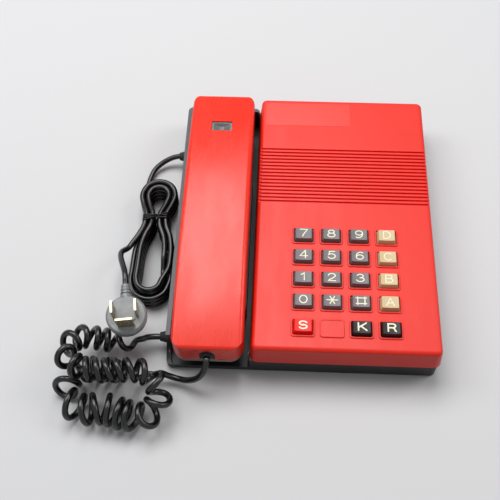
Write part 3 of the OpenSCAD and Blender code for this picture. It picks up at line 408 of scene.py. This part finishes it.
def metal(name, colour, dull, rough, streak_mm, axis):
    """Drawn or stamped metal with fine parallel streaks along one axis and dull spots."""
    made, tree = material(name)
    place = add(tree, "ShaderNodeTexCoord").outputs["Object"]
    # the pattern is drawn out along the axis, and across it 12 times 83 makes it streak_mm wide
    scale = [12.0, 12.0, 12.0]
    scale[axis] = 0.6
    stretch = add(tree, "ShaderNodeMapping", {"Scale": scale}, {"Vector": place})
    streaks = add(tree, "ShaderNodeTexNoise", {"Scale": 83 / streak_mm, "Detail": 3},
                  {"Vector": stretch.outputs[0]})
    spots = add(tree, "ShaderNodeTexNoise", {"Scale": 700, "Detail": 4}, {"Vector": place})
    mixed = add(tree, "ShaderNodeMix", {6: tint(dull), 7: tint(colour)},
                {"Factor": spots.outputs["Fac"]}, data_type="RGBA")
    gloss = add(tree, "ShaderNodeMapRange", {1: 0.3, 2: 0.7, 3: rough - 0.05, 4: rough + 0.12},
                {0: streaks.outputs["Fac"]})
    bump = add(tree, "ShaderNodeBump", {"Strength": 0.3, "Distance": 0.00005},
               {"Height": streaks.outputs["Fac"]})
    shader = add(tree, "ShaderNodeBsdfPrincipled", {"Metallic": 1.0},
                 {"Base Color": mixed.outputs[2], "Roughness": gloss.outputs[0], "Normal": bump.outputs[0]})
    add(tree, "ShaderNodeOutputMaterial", None, {"Surface": shader.outputs[0]})
    return made


# the cover's grooves, in millimetres, for the shade painted in them: spacing, the middle of one, the band's
# ends, their floor and top
GROOVE_PITCH, GROOVE_MID, BAND_FRONT, BAND_REAR, GROOVE_FLOOR, GROOVE_TOP = 3.09, 56.35, 8.9, 57.5, 33.2, 36
# height at which the tray's painted shade is darkest, and above which it is gone, in millimetres
BAY_FLOOR, BAY_UNSHADED = 15, 22.2
# width over which a covered band fades out, in millimetres
SOFT_EDGE = 0.2


def between(tree, value, low, high):
    """1 from low to high, in millimetres, and 0 outside, with soft ends."""
    rise = add(tree, "ShaderNodeMapRange", {1: (low - SOFT_EDGE) / 1000, 2: low / 1000}, {0: value})
    fall = add(tree, "ShaderNodeMapRange",
               {1: high / 1000, 2: (high + SOFT_EDGE) / 1000, 3: 1.0, 4: 0.0}, {0: value})
    return add(tree, "ShaderNodeMath", None, {0: rise.outputs[0], 1: fall.outputs[0]},
               operation="MULTIPLY").outputs[0]


def groove_shade(tree, place):
    """Painted shade: a deeper red down in each groove of the band and on the shoulders of its ribs."""
    axes = add(tree, "ShaderNodeSeparateXYZ", None, {0: place}).outputs
    steps = add(tree, "ShaderNodeMath", {1: GROOVE_MID / 1000}, {0: axes["Y"]}, operation="SUBTRACT")
    steps = add(tree, "ShaderNodeMath", {1: GROOVE_PITCH / 1000}, {0: steps.outputs[0]}, operation="DIVIDE")
    off = add(tree, "ShaderNodeMath", {1: 0.5}, {0: steps.outputs[0]}, operation="PINGPONG")
    near = add(tree, "ShaderNodeMapRange", {1: 0.27, 2: 0.36, 3: 0.85, 4: 0.0}, {0: off.outputs[0]})
    both = add(tree, "ShaderNodeMath", None, {0: between(tree, axes["Y"], BAND_FRONT, BAND_REAR),
                                              1: between(tree, axes["Z"], GROOVE_FLOOR, GROOVE_TOP)},
               operation="MULTIPLY")
    cover = add(tree, "ShaderNodeMath", None, {0: both.outputs[0], 1: near.outputs[0]}, operation="MULTIPLY")
    return cover.outputs[0], "#ec1608"


def low_shade(tree, place):
    """Painted shade: darker towards the floor of the bay and the foot of the walls."""
    axes = add(tree, "ShaderNodeSeparateXYZ", None, {0: place}).outputs
    cover = add(tree, "ShaderNodeMapRange", {1: BAY_FLOOR / 1000, 2: BAY_UNSHADED / 1000, 3: 1.0, 4: 0.0},
                {0: axes["Z"]})
    return cover.outputs[0], "#0d0d0f"


# injection-moulded ABS, spark-eroded tool: an even satin red that scatters its highlights, with a deeper red
# painted as shade in each groove and on the shoulders of the ribs
COVER_RED = moulded("satin_red_abs", "#f42c18", "#ec2612", "#f6635a", 0.42, 0.45, 0.02, 0.25, 45, ior=1.48,
                    shaded_by=groove_shade)
# injection-moulded ABS, polished tool, years of handling: glossy, with greasy smears that break its glare
HANDSET_RED = moulded("polished_red_abs", "#fa2a02", "#f02300", "#f76a4e", 0.27, 0.9, 0.008, 0.12, 60,
                      ior=1.5, smear=0.13)
# injection-moulded ABS, fine texture: charcoal with rubbed grey patches, and near black painted as shade low
# down in the bay and on the foot of its walls
TRAY_GREY = moulded("charcoal_abs", "#5f6064", "#525357", "#77787c", 0.45, 0.5, 0.03, 0.3, 25, ior=1.46,
                    shaded_by=low_shade)
# injection-moulded ABS, fine texture: a warm grey, dulled by the hand
LOW_GREY = moulded("warm_grey_abs", "#8a857b", "#7c776e", "#a19c92", 0.45, 0.5, 0.02, 0.2, 25)
# double-shot ABS key caps, eroded tool: satin tops with small rubbed spots
KEY_GREY = moulded("slate_keycap_abs", "#767174", "#6b6669", "#908b8f", 0.4, 0.4, 0.02, 0.3, 8)
KEY_BEIGE = moulded("beige_keycap_abs", "#dec79a", "#d4bc8f", "#e8d5b0", 0.42, 0.4, 0.02, 0.3, 8)
KEY_RED = moulded("red_keycap_abs", "#ff120a", "#f50d06", "#ff463c", 0.42, 0.4, 0.02, 0.2, 8, ior=1.42)
KEY_BLACK = moulded("black_keycap_abs", "#141416", "#0e0e10", "#343437", 0.4, 0.4, 0.02, 0.3, 8, ior=1.42)
# the caps' second shot, raised: smooth cream ABS, a little yellowed
LEGEND_CREAM = moulded("cream_legend_abs", "#fbf4d9", "#f5ecca", "#fdfaea", 0.4, 0.5, 0.01, 0.2, 4)
# extruded PVC sheath: black, glossy, with faint waves from the die
CORD_PVC = moulded("glossy_black_pvc", "#0d0d0f", "#08080a", "#1d1d20", 0.2, 1.4, 0.03, 0.2, 12, ior=1.52,
                   drawn=True)
# PVC extruded over thin steel wire: black, duller than the cord
TIE_PVC = moulded("black_tie_pvc", "#1b1b1e", "#131315", "#303034", 0.34, 0.8, 0.02, 0.2, 8, ior=1.46)
# compression-moulded nitrile rubber: black, matt, greyed where it is touched
RUBBER = moulded("black_nitrile_rubber", "#1d1d1f", "#171719", "#3a3a3c", 0.7, 0.6, 0.04, 0.3, 8)
# injection-moulded ABS of bought-in parts, coarse tool: black without gloss
SOFT_BLACK = moulded("matt_black_abs", "#26272a", "#1e1f21", "#434447", 0.5, 0.5, 0.03, 0.2, 12)
# calendered vinyl label tape: smooth, glossy, one red all over
TAPE_VINYL = moulded("red_label_vinyl", "#f83a29", "#f33323", "#ff6a60", 0.34, 1.2, 0.01, 0.06, 20)
# moulded polycarbonate: a milky lens that hides its lamp, and a smoked window that shows the card
LENS_PC = clear_plastic("frosted_lens_polycarbonate", "#a2a3a3", "#767675", 0.16, 0.5, 1.58, 4)
WINDOW_PC = clear_plastic("smoked_window_polycarbonate", "#4c4d50", "#404144", 0.12, 0.25, 1.58, 9)
# moulded soft PVC, smoke tinted: half clear, with flow marks and a dull skin
PLUG_PVC = clear_plastic("smoked_plug_pvc", "#b4b8b8", "#767b7c", 0.3, 0.4, 1.53, 5)
# stamped brass strip, nickel plated: a warm white metal, yellow where the plating is thin
BLADE_METAL = metal("nickel_plated_brass", "#ddd2b4", "#a5906a", 0.24, 0.3, 2)
# pressed steel, zinc plated: cool grey with dull spots
SCREW_STEEL = metal("zinc_plated_steel", "#b9bcc0", "#8f9397", 0.34, 0.2, 2)
# rolled mild steel bar: plain grey, streaked by the rolls
WEIGHT_STEEL = metal("rolled_mild_steel", "#9a9da1", "#73767a", 0.42, 0.4, 1)
# uncoated card: cream, fibrous, without gloss
CARD_PAPER = moulded("cream_card_paper", "#e9e4d4", "#e0dac8", "#f3efe3", 0.85, 0.3, 0.03, 0.3, 6)
# solder mask on glass laminate: green and glossy, with a slight ripple
BOARD_GREEN = moulded("green_solder_mask", "#2d6b3c", "#255c33", "#3f8450", 0.35, 1.2, 0.02, 0.3, 5)
# punched phenolic paper board: tan with a cloudy grain
BOARD_TAN = moulded("tan_phenolic_board", "#b98d46", "#aa7f3c", "#cba561", 0.5, 0.8, 0.02, 0.3, 6)
# moulded silicone rubber: pale grey, soft sheen
MAT_SILICONE = moulded("grey_silicone_rubber", "#9fa09f", "#929392", "#b5b6b5", 0.55, 0.5, 0.02, 0.2, 6)
# extruded PVC of flat cable: pale warm grey, waxy
RIBBON_PVC = moulded("grey_ribbon_pvc", "#bdb9ac", "#b0ac9f", "#cfccc1", 0.4, 1.2, 0.04, 0.2, 5)
# stacked core sheets dipped in varnish: brownish grey, uneven gloss
CORE_VARNISH = moulded("varnished_core_steel", "#6f6b61", "#625e55", "#8a867c", 0.4, 0.5, 0.04, 0.2, 5)
# moulded acetal: off-white, smooth and waxy
SWITCH_ACETAL = moulded("white_acetal", "#dcd9cf", "#d0cdc2", "#eeece5", 0.35, 0.8, 0.01, 0.1, 6)

FINISHES = {
    "base_tray": TRAY_GREY, "top_cover": COVER_RED, "rubber_feet": RUBBER, "case_screws": SCREW_STEEL,
    "main_board": BOARD_GREEN, "line_transformer": CORE_VARNISH, "board_parts": SOFT_BLACK,
    "keypad_board": BOARD_TAN, "keypad_mat": MAT_SILICONE, "ribbon_cable": RIBBON_PVC,
    "ringer_sounder": SOFT_BLACK, "hook_switch_body": SOFT_BLACK, "hook_plunger": SWITCH_ACETAL,
    "number_card": CARD_PAPER, "card_window": WINDOW_PC, "curly_grommet": RUBBER, "line_grommet": RUBBER,
    "handset_top_shell": HANDSET_RED, "handset_low_shell": LOW_GREY, "earpiece_capsule": SOFT_BLACK,
    "microphone_capsule": SOFT_BLACK, "handset_weight": WEIGHT_STEEL, "handset_board": BOARD_GREEN,
    "lamp_lens": LENS_PC, "handset_screws": SCREW_STEEL, "handset_sleeve": RUBBER,
    "plug_body": PLUG_PVC, "plug_blades": BLADE_METAL}
KEYS = ("7", "8", "9", "d", "4", "5", "6", "c", "1", "2", "3", "b", "0", "star", "hash", "a", "s", "k", "r")
for key in KEYS:
    FINISHES["key_" + key] = (KEY_BEIGE if key in "abcd" else KEY_RED if key == "s"
                              else KEY_BLACK if key in "kr" else KEY_GREY)
for name, finish in FINISHES.items():
    data = NODES[name].data
    data.materials.clear()
    data.materials.append(finish)


# ---------------------------------------------------------------- wire tie and screw heads

def geometry_tree(name, sizes):
    """A geometry tree with a shape and named sizes going in and a shape coming out, and what goes in."""
    tree = bpy.data.node_groups.new(name, "GeometryNodeTree")
    tree.interface.new_socket("Start", in_out="INPUT", socket_type="NodeSocketGeometry")
    for size in sizes:
        tree.interface.new_socket(size, in_out="INPUT", socket_type="NodeSocketFloat")
    tree.interface.new_socket("Grown", in_out="OUTPUT", socket_type="NodeSocketGeometry")
    return tree, tree.nodes.new("NodeGroupInput").outputs


def end_tree(tree, shape, finish):
    """Ends a tree in real faces that carry their material."""
    real = add(tree, "GeometryNodeRealizeInstances", None, {0: shape})
    coloured = add(tree, "GeometryNodeSetMaterial", {"Material": finish}, {"Geometry": real.outputs[0]})
    add(tree, "NodeGroupOutput", None, {0: coloured.outputs[0]})


def grown(name, tree, sizes, points, edges, body):
    """Runs a tree with sizes in millimetres on a few points, and keeps its result as a plain mesh."""
    mesh = bpy.data.meshes.new(name)
    mesh.from_pydata([tuple(p / 1000) for p in points], edges, [])
    made = bpy.data.objects.new(name, mesh)
    bpy.context.scene.collection.objects.link(made)
    grow = made.modifiers.new("grow", "NODES")
    grow.node_group = tree
    for socket in tree.interface.items_tree:
        if socket.in_out == "INPUT" and socket.name in sizes:
            grow[socket.identifier] = sizes[socket.name] / 1000
    result = bpy.data.meshes.new_from_object(made.evaluated_get(bpy.context.evaluated_depsgraph_get()))
    made.modifiers.clear()
    made.data = result
    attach(made, body)
    return made


# the tie: its wire's radius, its turns and their step, and a turn's half width, bottom, top and corners
TIE_R, TIE_TURNS, TIE_STEP = 0.42, 3, 2.0
TIE_HALF, TIE_LOW, TIE_TOP, TIE_CORNER, CORNER_STEPS, TIE_STEP_L = 9.5, 0.58, 19.4, 2.6, 4, 0.6
# its twisted tails: their root above the turns, their reach, and the twist's radius, angle and steps
TAIL_ROOT, TAIL_OUT, TAIL_FORWARD, TAIL_RISE, TAIL_DROP = 1.1, 6, 3, 4.5, 1.5
TAIL_R, TAIL_TWIST, TAIL_STEPS = 0.48, 14, 24


def tie_tail(root, phase):
    """One tail of the tie, leaving the hank to the left and front, wound round the other tail."""
    axis = [root + vec(-TAIL_OUT * t * t, -TAIL_FORWARD * t * t, TAIL_RISE * t - TAIL_DROP * t * t)
            for t in np.linspace(0, 1, TAIL_STEPS + 1)]
    ways = np.gradient(np.array(axis), axis=0)
    ways /= np.linalg.norm(ways, axis=1)[:, None]
    points = []
    for i, (p, way) in enumerate(zip(axis, ways)):
        a, side = phase + TAIL_TWIST * i / TAIL_STEPS, unit(np.cross(way, (0.45, -0.9, 0)))
        points.append(p + TAIL_R * (math.cos(a) * side + math.sin(a) * np.cross(way, side)))
    return points


def tie_path():
    """The tie's wire: three turns round the hank's waist and two tails twisted together on top."""
    points, middle = [], (TIE_TOP + TIE_LOW) / 2
    corners = [(1, 1, 0), (-1, 1, 90), (-1, -1, 180), (1, -1, 270)]
    for n in range(TIE_TURNS * 4 + 1):
        sx, sz, start = corners[n % 4]
        for k in range(CORNER_STEPS + 1):
            share, a = k / CORNER_STEPS, math.radians(start + 90 * k / CORNER_STEPS)
            points.append(vec(HANK_X + sx * (TIE_HALF - TIE_CORNER) + TIE_CORNER * math.cos(a),
                              WAIST_Y + TIE_STEP * ((n + share) / 4 - TIE_TURNS / 2),
                              middle + sz * (TIE_TOP - middle - TIE_CORNER) + TIE_CORNER * math.sin(a)))
    root = vec(HANK_X + 1, WAIST_Y, TIE_TOP + TAIL_ROOT)
    return tie_tail(root, math.pi)[::-1] + points[CORNER_STEPS + 1:] + tie_tail(root, 0)


tree, size = geometry_tree("twisted_wire_tie", ["Wire radius"])
ring = add(tree, "GeometryNodeCurvePrimitiveCircle", {"Resolution": 10}, {"Radius": size["Wire radius"]})
line = add(tree, "GeometryNodeMeshToCurve", None, {0: size["Start"]})
wire = add(tree, "GeometryNodeCurveToMesh", {"Fill Caps": True}, {0: line.outputs[0], 1: ring.outputs[0]})
end_tree(tree, wire.outputs[0], TIE_PVC)
tie_route = evened(tie_path(), TIE_STEP_L)[0]
wire_tie = grown("wire_tie", tree, {"Wire radius": TIE_R}, list(tie_route),
                 [(i, i + 1) for i in range(len(tie_route) - 1)], "base")
wire_tie.data.polygons.foreach_set("use_smooth", [True] * len(wire_tie.data.polygons))
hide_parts("hank_tie")

# pressed cross-recess heads: one disc on each place, its cross cut through to the screw behind it
tree, size = geometry_tree("cross_recess_heads",
                           ["Head radius", "Head height", "Recess length", "Recess width"])
disc = add(tree, "GeometryNodeMeshCylinder", {"Vertices": 28},
           {"Radius": size["Head radius"], "Depth": size["Head height"]})
deep = add(tree, "ShaderNodeMath", {1: 3.0}, {0: size["Head height"]}, operation="MULTIPLY")
arms = []
for length, width in (("Recess length", "Recess width"), ("Recess width", "Recess length")):
    extent = add(tree, "ShaderNodeCombineXYZ", None, {0: size[length], 1: size[width], 2: deep.outputs[0]})
    arms.append(add(tree, "GeometryNodeMeshCube", None, {"Size": extent.outputs[0]}).outputs[0])
cut = disc.outputs[0]
for arm in arms:
    cut = add(tree, "GeometryNodeMeshBoolean", None, {"Mesh 1": cut, "Mesh 2": arm},
              operation="DIFFERENCE").outputs[0]
heads = add(tree, "GeometryNodeInstanceOnPoints", None, {"Points": size["Start"], "Instance": cut})
end_tree(tree, heads.outputs[0], SCREW_STEEL)

# height of a head, width of its recess, the recess's length as a share of the head's radius,
# and for each node of screws the radius, places and body of its heads
HEAD_H, RECESS_W, RECESS_SHARE = 0.4, 0.85, 1.15
HEADS = {"case_screws": (2.95, [vec(x, y, 1.42) for x in (-26.5, 82) for y in (-96.5, 96.5)], "base"),
         "handset_screws": (2.65, [vec(-61.5, 46, 26.92), vec(-61.5, -52, 25.52)], "handset")}
for node, (head_r, places, body) in HEADS.items():
    sizes = {"Head radius": head_r, "Head height": HEAD_H, "Recess length": head_r * RECESS_SHARE,
             "Recess width": RECESS_W}
    grown(node + "_heads", tree, sizes, places, [], body)


# ---------------------------------------------------------------- cords

# length of the steps and number of the sides of the cords' tubes
CURLY_STEP_L, LINE_STEP_L, CORD_SIDES = 1.5, 2.0, 12

curly_path, curly_length = evened(CURLY_ROUTE, CURLY_STEP_L)
curly_cord = tube("curly_cord", curly_path, CURLY_D / 2, CORD_SIDES, CORD_PVC, None)
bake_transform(curly_cord)
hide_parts("curly_lead_handset", "curly_coil", "curly_lead_base")

line_path, line_length = evened(LINE_ROUTE, LINE_STEP_L)
line_cord = tube("line_cord", line_path, LINE_D / 2, CORD_SIDES, CORD_PVC, "base")
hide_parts("line_lead_base", "line_hank", "line_lead_plug")


# ---------------------------------------------------------------- key legends

def dots(*points):
    """A stroke with corners at the points, on a field that is 1 wide and 1 high."""
    return [vec(*p) for p in points]


def arc(cx, cy, rx, ry, a0, a1, count=20):
    """A round stroke from one angle to another."""
    return [vec(cx + rx * math.cos(math.radians(a)), cy + ry * math.sin(math.radians(a)))
            for a in np.linspace(a0, a1, count)]


GLYPHS = {
    "0": [arc(0.5, 0.5, 0.5, 0.5, 90, 450, 40)],
    "1": [dots((0.1, 0.76), (0.36, 0.81), (0.56, 0.93), (0.64, 1), (0.64, 0))],
    "2": [arc(0.48, 0.7, 0.46, 0.3, 172, -22, 18) + dots((0.55, 0.34), (0.12, 0.12), (0.04, 0.0), (0.98, 0))],
    "3": [arc(0.46, 0.755, 0.4, 0.245, 160, -90, 18) + arc(0.46, 0.27, 0.5, 0.27, 90, -165, 20)],
    "4": [dots((0.74, 0), (0.74, 1), (0.68, 1), (0.0, 0.27), (1.02, 0.27))],
    "5": [dots((0.9, 1), (0.2, 1), (0.1, 0.52)) + arc(0.48, 0.33, 0.5, 0.33, 142, -155, 22)],
    "6": [arc(0.5, 0.31, 0.47, 0.31, 180, 540, 36), arc(0.62, 0.42, 0.6, 0.58, 185, 60, 16)],
    "7": [dots((0.0, 1), (1, 1), (0.62, 0.5), (0.42, 0.2), (0.36, 0))],
    "8": [arc(0.5, 0.77, 0.4, 0.23, -90, 270, 30), arc(0.5, 0.27, 0.5, 0.27, 90, 450, 32)],
    "9": [arc(0.5, 0.69, 0.47, 0.31, 0, 360, 36), arc(0.38, 0.58, 0.6, 0.58, 5, -120, 16)],
    "star": [dots((-0.1, 0.5), (1.1, 0.5)), dots((0.24, 0.02), (0.76, 0.98)),
             dots((0.76, 0.02), (0.24, 0.98))],
    "hash": [dots((-0.06, 0.12), (1.06, 0.12)), dots((-0.06, 0.88), (1.06, 0.88)),
             dots((0.12, -0.02), (0.12, 1.02)), dots((0.88, -0.02), (0.88, 1.02))],
    "a": [dots((0, 0), (0.5, 1), (1, 0)), dots((0.18, 0.34), (0.82, 0.34))],
    "b": [dots((0.05, 0), (0.05, 1)),
          dots((0.07, 1), (0.52, 1)) + arc(0.52, 0.765, 0.37, 0.235, 90, -90, 12) + dots((0.07, 0.53)),
          dots((0.5, 0.53)) + arc(0.54, 0.265, 0.44, 0.265, 90, -90, 14) + dots((0.07, 0))],
    "c": [arc(0.54, 0.5, 0.54, 0.5, 48, 312, 30)],
    "d": [dots((0.05, 0), (0.05, 1)),
          dots((0.07, 1), (0.42, 1)) + arc(0.42, 0.5, 0.58, 0.5, 90, -90, 22) + dots((0.07, 0))],
    "k": [dots((0.06, 0), (0.06, 1)), dots((0.98, 1), (0.06, 0.38)), dots((0.36, 0.58), (1.02, 0))],
    "r": [dots((0.06, 0), (0.06, 1), (0.55, 1)) + arc(0.55, 0.74, 0.4, 0.26, 90, -90, 14)
          + dots((0.06, 0.48)),
          dots((0.55, 0.48), (0.78, 0.4), (0.9, 0.1), (1.0, 0))],
    "s": [arc(0.5, 0.74, 0.44, 0.26, 20, 265, 20) + arc(0.5, 0.26, 0.46, 0.26, 95, -160, 20)]}
# hollow of a cap's top
DISH_R, DISH_DEPTH = 60, 0.25
# a legend's height, its place behind the cap's middle, its reach into the cap and above it, widths and pens
LEGEND_H, LEGEND_BEHIND, LEGEND_SUNK, LEGEND_PROUD = 6.2, 0.25, 0.15, 0.05
LEGEND_W, PEN, BOLD_PEN = 5.7, 0.74, 1.02
OTHER_WIDTHS = {"1": 4.6, "star": 6.5, "hash": 6.9, "s": 6.3, "k": 6.5, "r": 6.3}
# sharpest corner and longest mitre of a stroke's outline, and the steps of its round ends
CORNER_LEAST, MITRE_MOST, CAP_STEPS = 0.35, 1.6, 6


def stroke_cap(centre, way, width):
    """The round end of a stroke that goes that way, without its first and last point."""
    return [centre + width / 2 * (math.cos(a) * vec(-way[1], way[0]) + math.sin(a) * way)
            for a in [math.pi * k / CAP_STEPS for k in range(1, CAP_STEPS)]]


def round_stroke(points, width):
    """A pen stroke's outline: its left side, its right side, the caps of its last and of its first end."""
    points = [p for i, p in enumerate(points) if i == 0 or np.linalg.norm(p - points[i - 1]) > 1e-4]
    ways = [unit(b - a) for a, b in zip(points, points[1:])]
    left, right = [], []
    for i, p in enumerate(points):
        a, b = ways[max(i - 1, 0)], ways[min(i, len(ways) - 1)]
        mid = unit(a + b) if np.linalg.norm(a + b) > 0.1 else a
        reach = min(1 / max(mid @ a, CORNER_LEAST), MITRE_MOST) * width / 2
        side = vec(-mid[1], mid[0])
        left.append(p + reach * side)
        right.append(p - reach * side)
    return left, right, stroke_cap(points[-1], ways[-1], width), stroke_cap(points[0], -ways[0], width)


def legend(key):
    """The key's sign in raised second-shot plastic that follows the dished cap top."""
    low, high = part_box("key_" + key)
    centre, top = (vec(*low[:2]) + vec(*high[:2])) * 500, high.z * 1000
    pen = BOLD_PEN if key in "skr" else PEN
    field = vec(OTHER_WIDTHS.get(key, LEGEND_W) - pen, LEGEND_H - pen)
    verts, faces = [], []

    def lift(p, above):
        x, y = (p[0] - 0.5) * field[0], (p[1] - 0.5) * field[1] + LEGEND_BEHIND
        dish = top + DISH_R - DISH_DEPTH - math.sqrt(DISH_R ** 2 - x * x)
        return vec(centre[0] + x, centre[1] + y, min(top, dish) + above) / 1000

    for stroke in GLYPHS[key]:
        left, right, tail, nose = round_stroke([p * field for p in stroke], pen)
        ring = [p / field for p in left + tail + right[::-1] + nose]
        first, count, n, back = len(verts), len(ring), len(left), 2 * len(left) + len(tail) - 1
        verts += [lift(p, -LEGEND_SUNK) for p in ring] + [lift(p, LEGEND_PROUD) for p in ring]
        for i in range(count):
            j = (i + 1) % count
            faces.append((first + i, first + j, first + count + j, first + count + i))
        for level, flip in ((first + count, 1), (first, -1)):
            for i in range(n - 1):
                quad = (level + i, level + i + 1, level + back - 1 - i, level + back - i)
                faces.append(quad[::flip])
            end = [level + n - 1 + i for i in range(len(tail) + 2)]
            start = [level + back + i for i in range(len(nose) + 1)] + [level]
            faces += [tuple(end[::flip]), tuple(start[::flip])]
    return outward(piece("legend_" + key, verts, faces, LEGEND_CREAM, "key_" + key + "_body", smooth=False))


for key in KEYS:
    legend(key)


# ---------------------------------------------------------------- label tape

# the tape's sides and corner radius, its edge as insets and heights above the cover's face,
# and the height of the frames round the keys, which stand on that face
TAPE_X, TAPE_Y, TAPE_CORNER, TAPE_CORNER_POINTS = (-29.3, 34.2), (79.2, 101.0), 1.4, 7
TAPE_EDGE = ((0, -0.03), (0, 0.08), (0.12, 0.14), (0.6, 0.145))
FRAME_H = 0.8


def label_tape():
    """A blank strip of stuck-on tape, its corners rounded and its edge rolled down by the punch."""
    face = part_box("top_cover")[1].z * 1000 - FRAME_H
    inner_x = (TAPE_X[1] - TAPE_CORNER, TAPE_X[0] + TAPE_CORNER)
    inner_y = (TAPE_Y[1] - TAPE_CORNER, TAPE_Y[0] + TAPE_CORNER)
    verts = []
    for inset, height in TAPE_EDGE:
        for i, j, start in ((0, 0, 0), (1, 0, 90), (1, 1, 180), (0, 1, 270)):
            for k in range(TAPE_CORNER_POINTS):
                a = math.radians(start + 90 * k / (TAPE_CORNER_POINTS - 1))
                round_by = (TAPE_CORNER - inset) * vec(math.cos(a), math.sin(a), 0)
                verts.append((vec(inner_x[i], inner_y[j], face + height) + round_by) / 1000)
    n, rings = 4 * TAPE_CORNER_POINTS, len(TAPE_EDGE)
    faces = [(ring * n + i, ring * n + (i + 1) % n, (ring + 1) * n + (i + 1) % n, (ring + 1) * n + i)
             for ring in range(rings - 1) for i in range(n)]
    faces += [tuple(range((rings - 1) * n, rings * n)), tuple(range(n - 1, -1, -1))]
    return outward(piece("label_tape", verts, faces, TAPE_VINYL, "base", smooth=False))


label_tape()


# ---------------------------------------------------------------- surroundings

def looked_at(tree):
    """1 on rays that show a surface as such: from the camera, in a gloss or through something clear."""
    paths = add(tree, "ShaderNodeLightPath")
    seen = add(tree, "ShaderNodeMath", None,
               {0: paths.outputs["Is Camera Ray"], 1: paths.outputs["Is Glossy Ray"]}, operation="MAXIMUM")
    return add(tree, "ShaderNodeMath", None, {0: seen.outputs[0], 1: paths.outputs["Is Transmission Ray"]},
               operation="MAXIMUM").outputs[0]


# half the side of the paper, in metres
FLOOR_HALF = 4
# matt seamless paper: pale to look at, duller in what it throws back on the object's walls
PAPER, tree = material("matt_seamless_paper")
sheet_tone = add(tree, "ShaderNodeMix", {6: tint("#8c8c8e"), 7: tint("#dcdcdd")}, {"Factor": looked_at(tree)},
                 data_type="RGBA")
shader = add(tree, "ShaderNodeBsdfPrincipled", {"Roughness": 0.8}, {"Base Color": sheet_tone.outputs[2]})
add(tree, "ShaderNodeOutputMaterial", None, {"Surface": shader.outputs[0]})
corners = [(FLOOR_HALF * x, FLOOR_HALF * y, 0) for x, y in ((-1, -1), (1, -1), (1, 1), (-1, 1))]
floor = piece("floor", corners, [(0, 1, 2, 3)], PAPER, None, smooth=False)


LAMP_AIM = (-0.03, 0, 0.03)


def lamp(name, place, size, watts):
    """A square soft box that faces the middle of the object."""
    made = bpy.data.objects.new(name, bpy.data.lights.new(name, "AREA"))
    bpy.context.scene.collection.objects.link(made)
    made.data.shape, made.data.size, made.data.energy = "SQUARE", size, watts
    made.location = place
    made.rotation_euler = (Vector(LAMP_AIM) - Vector(place)).to_track_quat("-Z", "Y").to_euler()


lamp("softbox_rear", (-0.2, 0.52, 1.3), 0.85, 12.4)
lamp("softbox_left", (-0.95, 0.3, 1.1), 0.6, 5)
lamp("softbox_right", (0.95, 0.25, 1.0), 0.6, 4.2)

# the same pale grey all round, dim as light and bright to look at
world = bpy.data.worlds.new("studio")
bpy.context.scene.world = world
world.use_nodes = True
tree = world.node_tree
tree.nodes.clear()
low = add(tree, "ShaderNodeBackground", {"Color": tint("#e9eaec"), "Strength": 0.28})
high = add(tree, "ShaderNodeBackground", {"Color": tint("#eef0f2"), "Strength": 0.74})
mix = add(tree, "ShaderNodeMixShader", None, {0: looked_at(tree), 1: low.outputs[0], 2: high.outputs[0]})
add(tree, "ShaderNodeOutputWorld", None, {"Surface": mix.outputs[0]})
